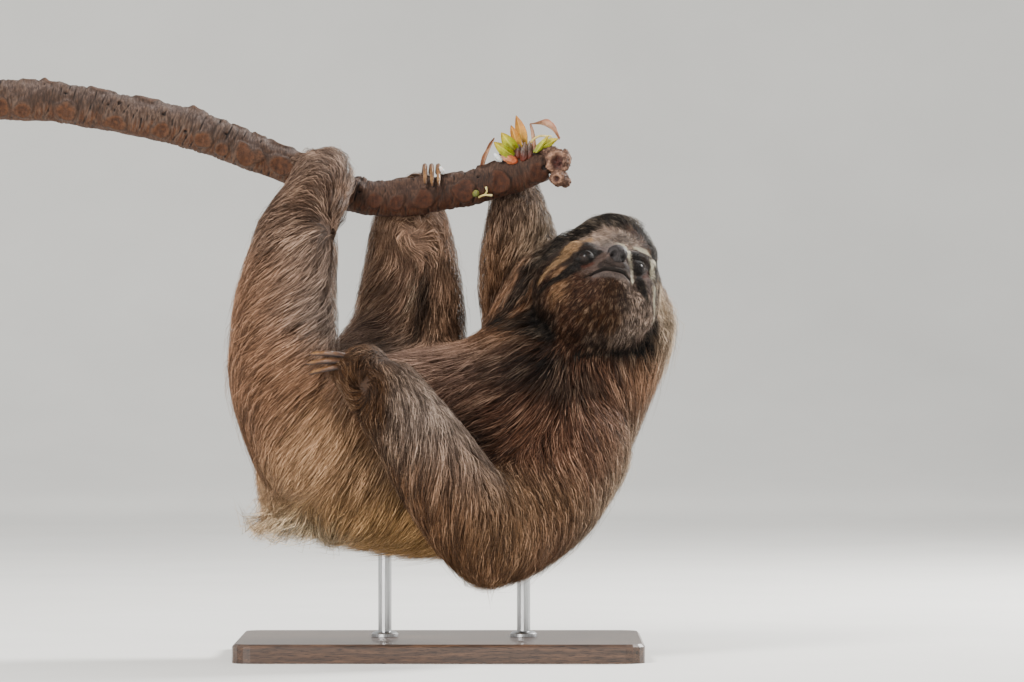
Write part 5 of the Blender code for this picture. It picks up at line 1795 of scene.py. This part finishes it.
for node, material in (("stand_base", board), ("stand_rod_front", steel), ("stand_rod_back", steel)):
    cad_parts[node].data.materials.clear()
    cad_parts[node].data.materials.append(material)

COLLAR = ((5.2, 0), (10, 0), (10, 2.2), (8.4, 3.6), (6.2, 4.2), (5.2, 4.2))  # radius, height, mm
COLLAR_SIDES = 48
COLLAR_LIFT = 0.2  # how far over the board it sits, mm
for rod in ("stand_rod_front", "stand_rod_back"):
    middle = middle_of(rod)
    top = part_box("stand_base")[1].z + COLLAR_LIFT * MM
    corners = len(COLLAR)
    points, faces = [], []
    for k in range(COLLAR_SIDES):
        way = Matrix.Rotation(2 * math.pi * k / COLLAR_SIDES, 3, "Z")
        points += [way @ Vector((r * MM, 0, z * MM)) for r, z in COLLAR]
        here, there = k * corners, (k + 1) % COLLAR_SIDES * corners
        for i in range(corners):
            j = (i + 1) % corners
            faces.append((here + i, there + i, there + j, here + j))
    points = np.array(points) + (middle.x, middle.y, top)
    collar = new_object(rod + "_collar", built(rod + "_collar", points, faces))
    collar.data.set_sharp_from_angle(angle=math.radians(35))
    dressed(collar, steel, "steel")

# ---------------------------------------------------------------- the studio
# A pale sweep of paper with no corner behind the stand, wide soft lamps above and
# to the left, and a lower one behind on the right that rims the fur.

SWEEP = ((-3.0, 0.0), (2.0, 0.0), (2.9, 0.05), (3.4, 0.22), (3.7, 0.5), (3.9, 0.9))  # y, z in metres
SWEEP_HALF = 4.0  # half its width, metres
profile = through(SWEEP, 60)
points = [(x, y, max(z, 0.0)) for y, z in profile for x in (-SWEEP_HALF, SWEEP_HALF)]
faces = [(2 * i, 2 * i + 1, 2 * i + 3, 2 * i + 2) for i in range(len(profile) - 1)]
mesh = bpy.data.meshes.new("sweep")
mesh.from_pydata(points, [], faces)
mesh.shade_smooth()
sweep = new_object("sweep", mesh)
paper, tree, shader = new_material("paper", 0.9, Specular_IOR_Level=0.1)
feed(tree, shader, Base_Color=ramp(tree, noise(tree, 6), (0.3, (216, 216, 213)), (0.7, (221, 221, 218))))
sweep.data.materials.append(paper)

world = bpy.data.worlds.new("studio")
bpy.context.scene.world = world
world.use_nodes = True
world.node_tree.nodes["Background"].inputs["Color"].default_value = (0.87, 0.86, 0.84, 1)
world.node_tree.nodes["Background"].inputs["Strength"].default_value = 1.02


def lamp(name, place, target, size, power, colour=(1, 1, 1)):
    light = bpy.data.lights.new(name, "AREA")
    light.shape = "DISK"
    light.size = size
    light.energy = power
    light.color = colour
    obj = new_object(name, light)
    obj.location = place
    way = Vector(target) - Vector(place)
    obj.rotation_euler = way.to_track_quat("-Z", "Y").to_euler()


lamp("key", (-1.1, -1.7, 1.9), (0, 0, 0.22), 0.9, 98, (1.0, 0.97, 0.93))
lamp("rim", (1.5, 1.0, 1.3), (0.1, 0, 0.25), 0.6, 120, (1.0, 0.98, 0.95))
lamp("fill", (-1.2, -2.2, 0.3), (0, 0, 0.2), 1.4, 38, (1.0, 0.96, 0.92))

VIEW_WIDTH = 0.7598  # metres across the view at the model
VIEW_AWAY = 4.0
camera = bpy.data.cameras.new("camera")
camera.lens = camera.sensor_width * VIEW_AWAY / VIEW_WIDTH
view = new_object("camera", camera)
view.location = (0.0534, -VIEW_AWAY, 0.2337)
view.rotation_euler = (math.radians(90), 0, 0)
bpy.context.scene.camera = view
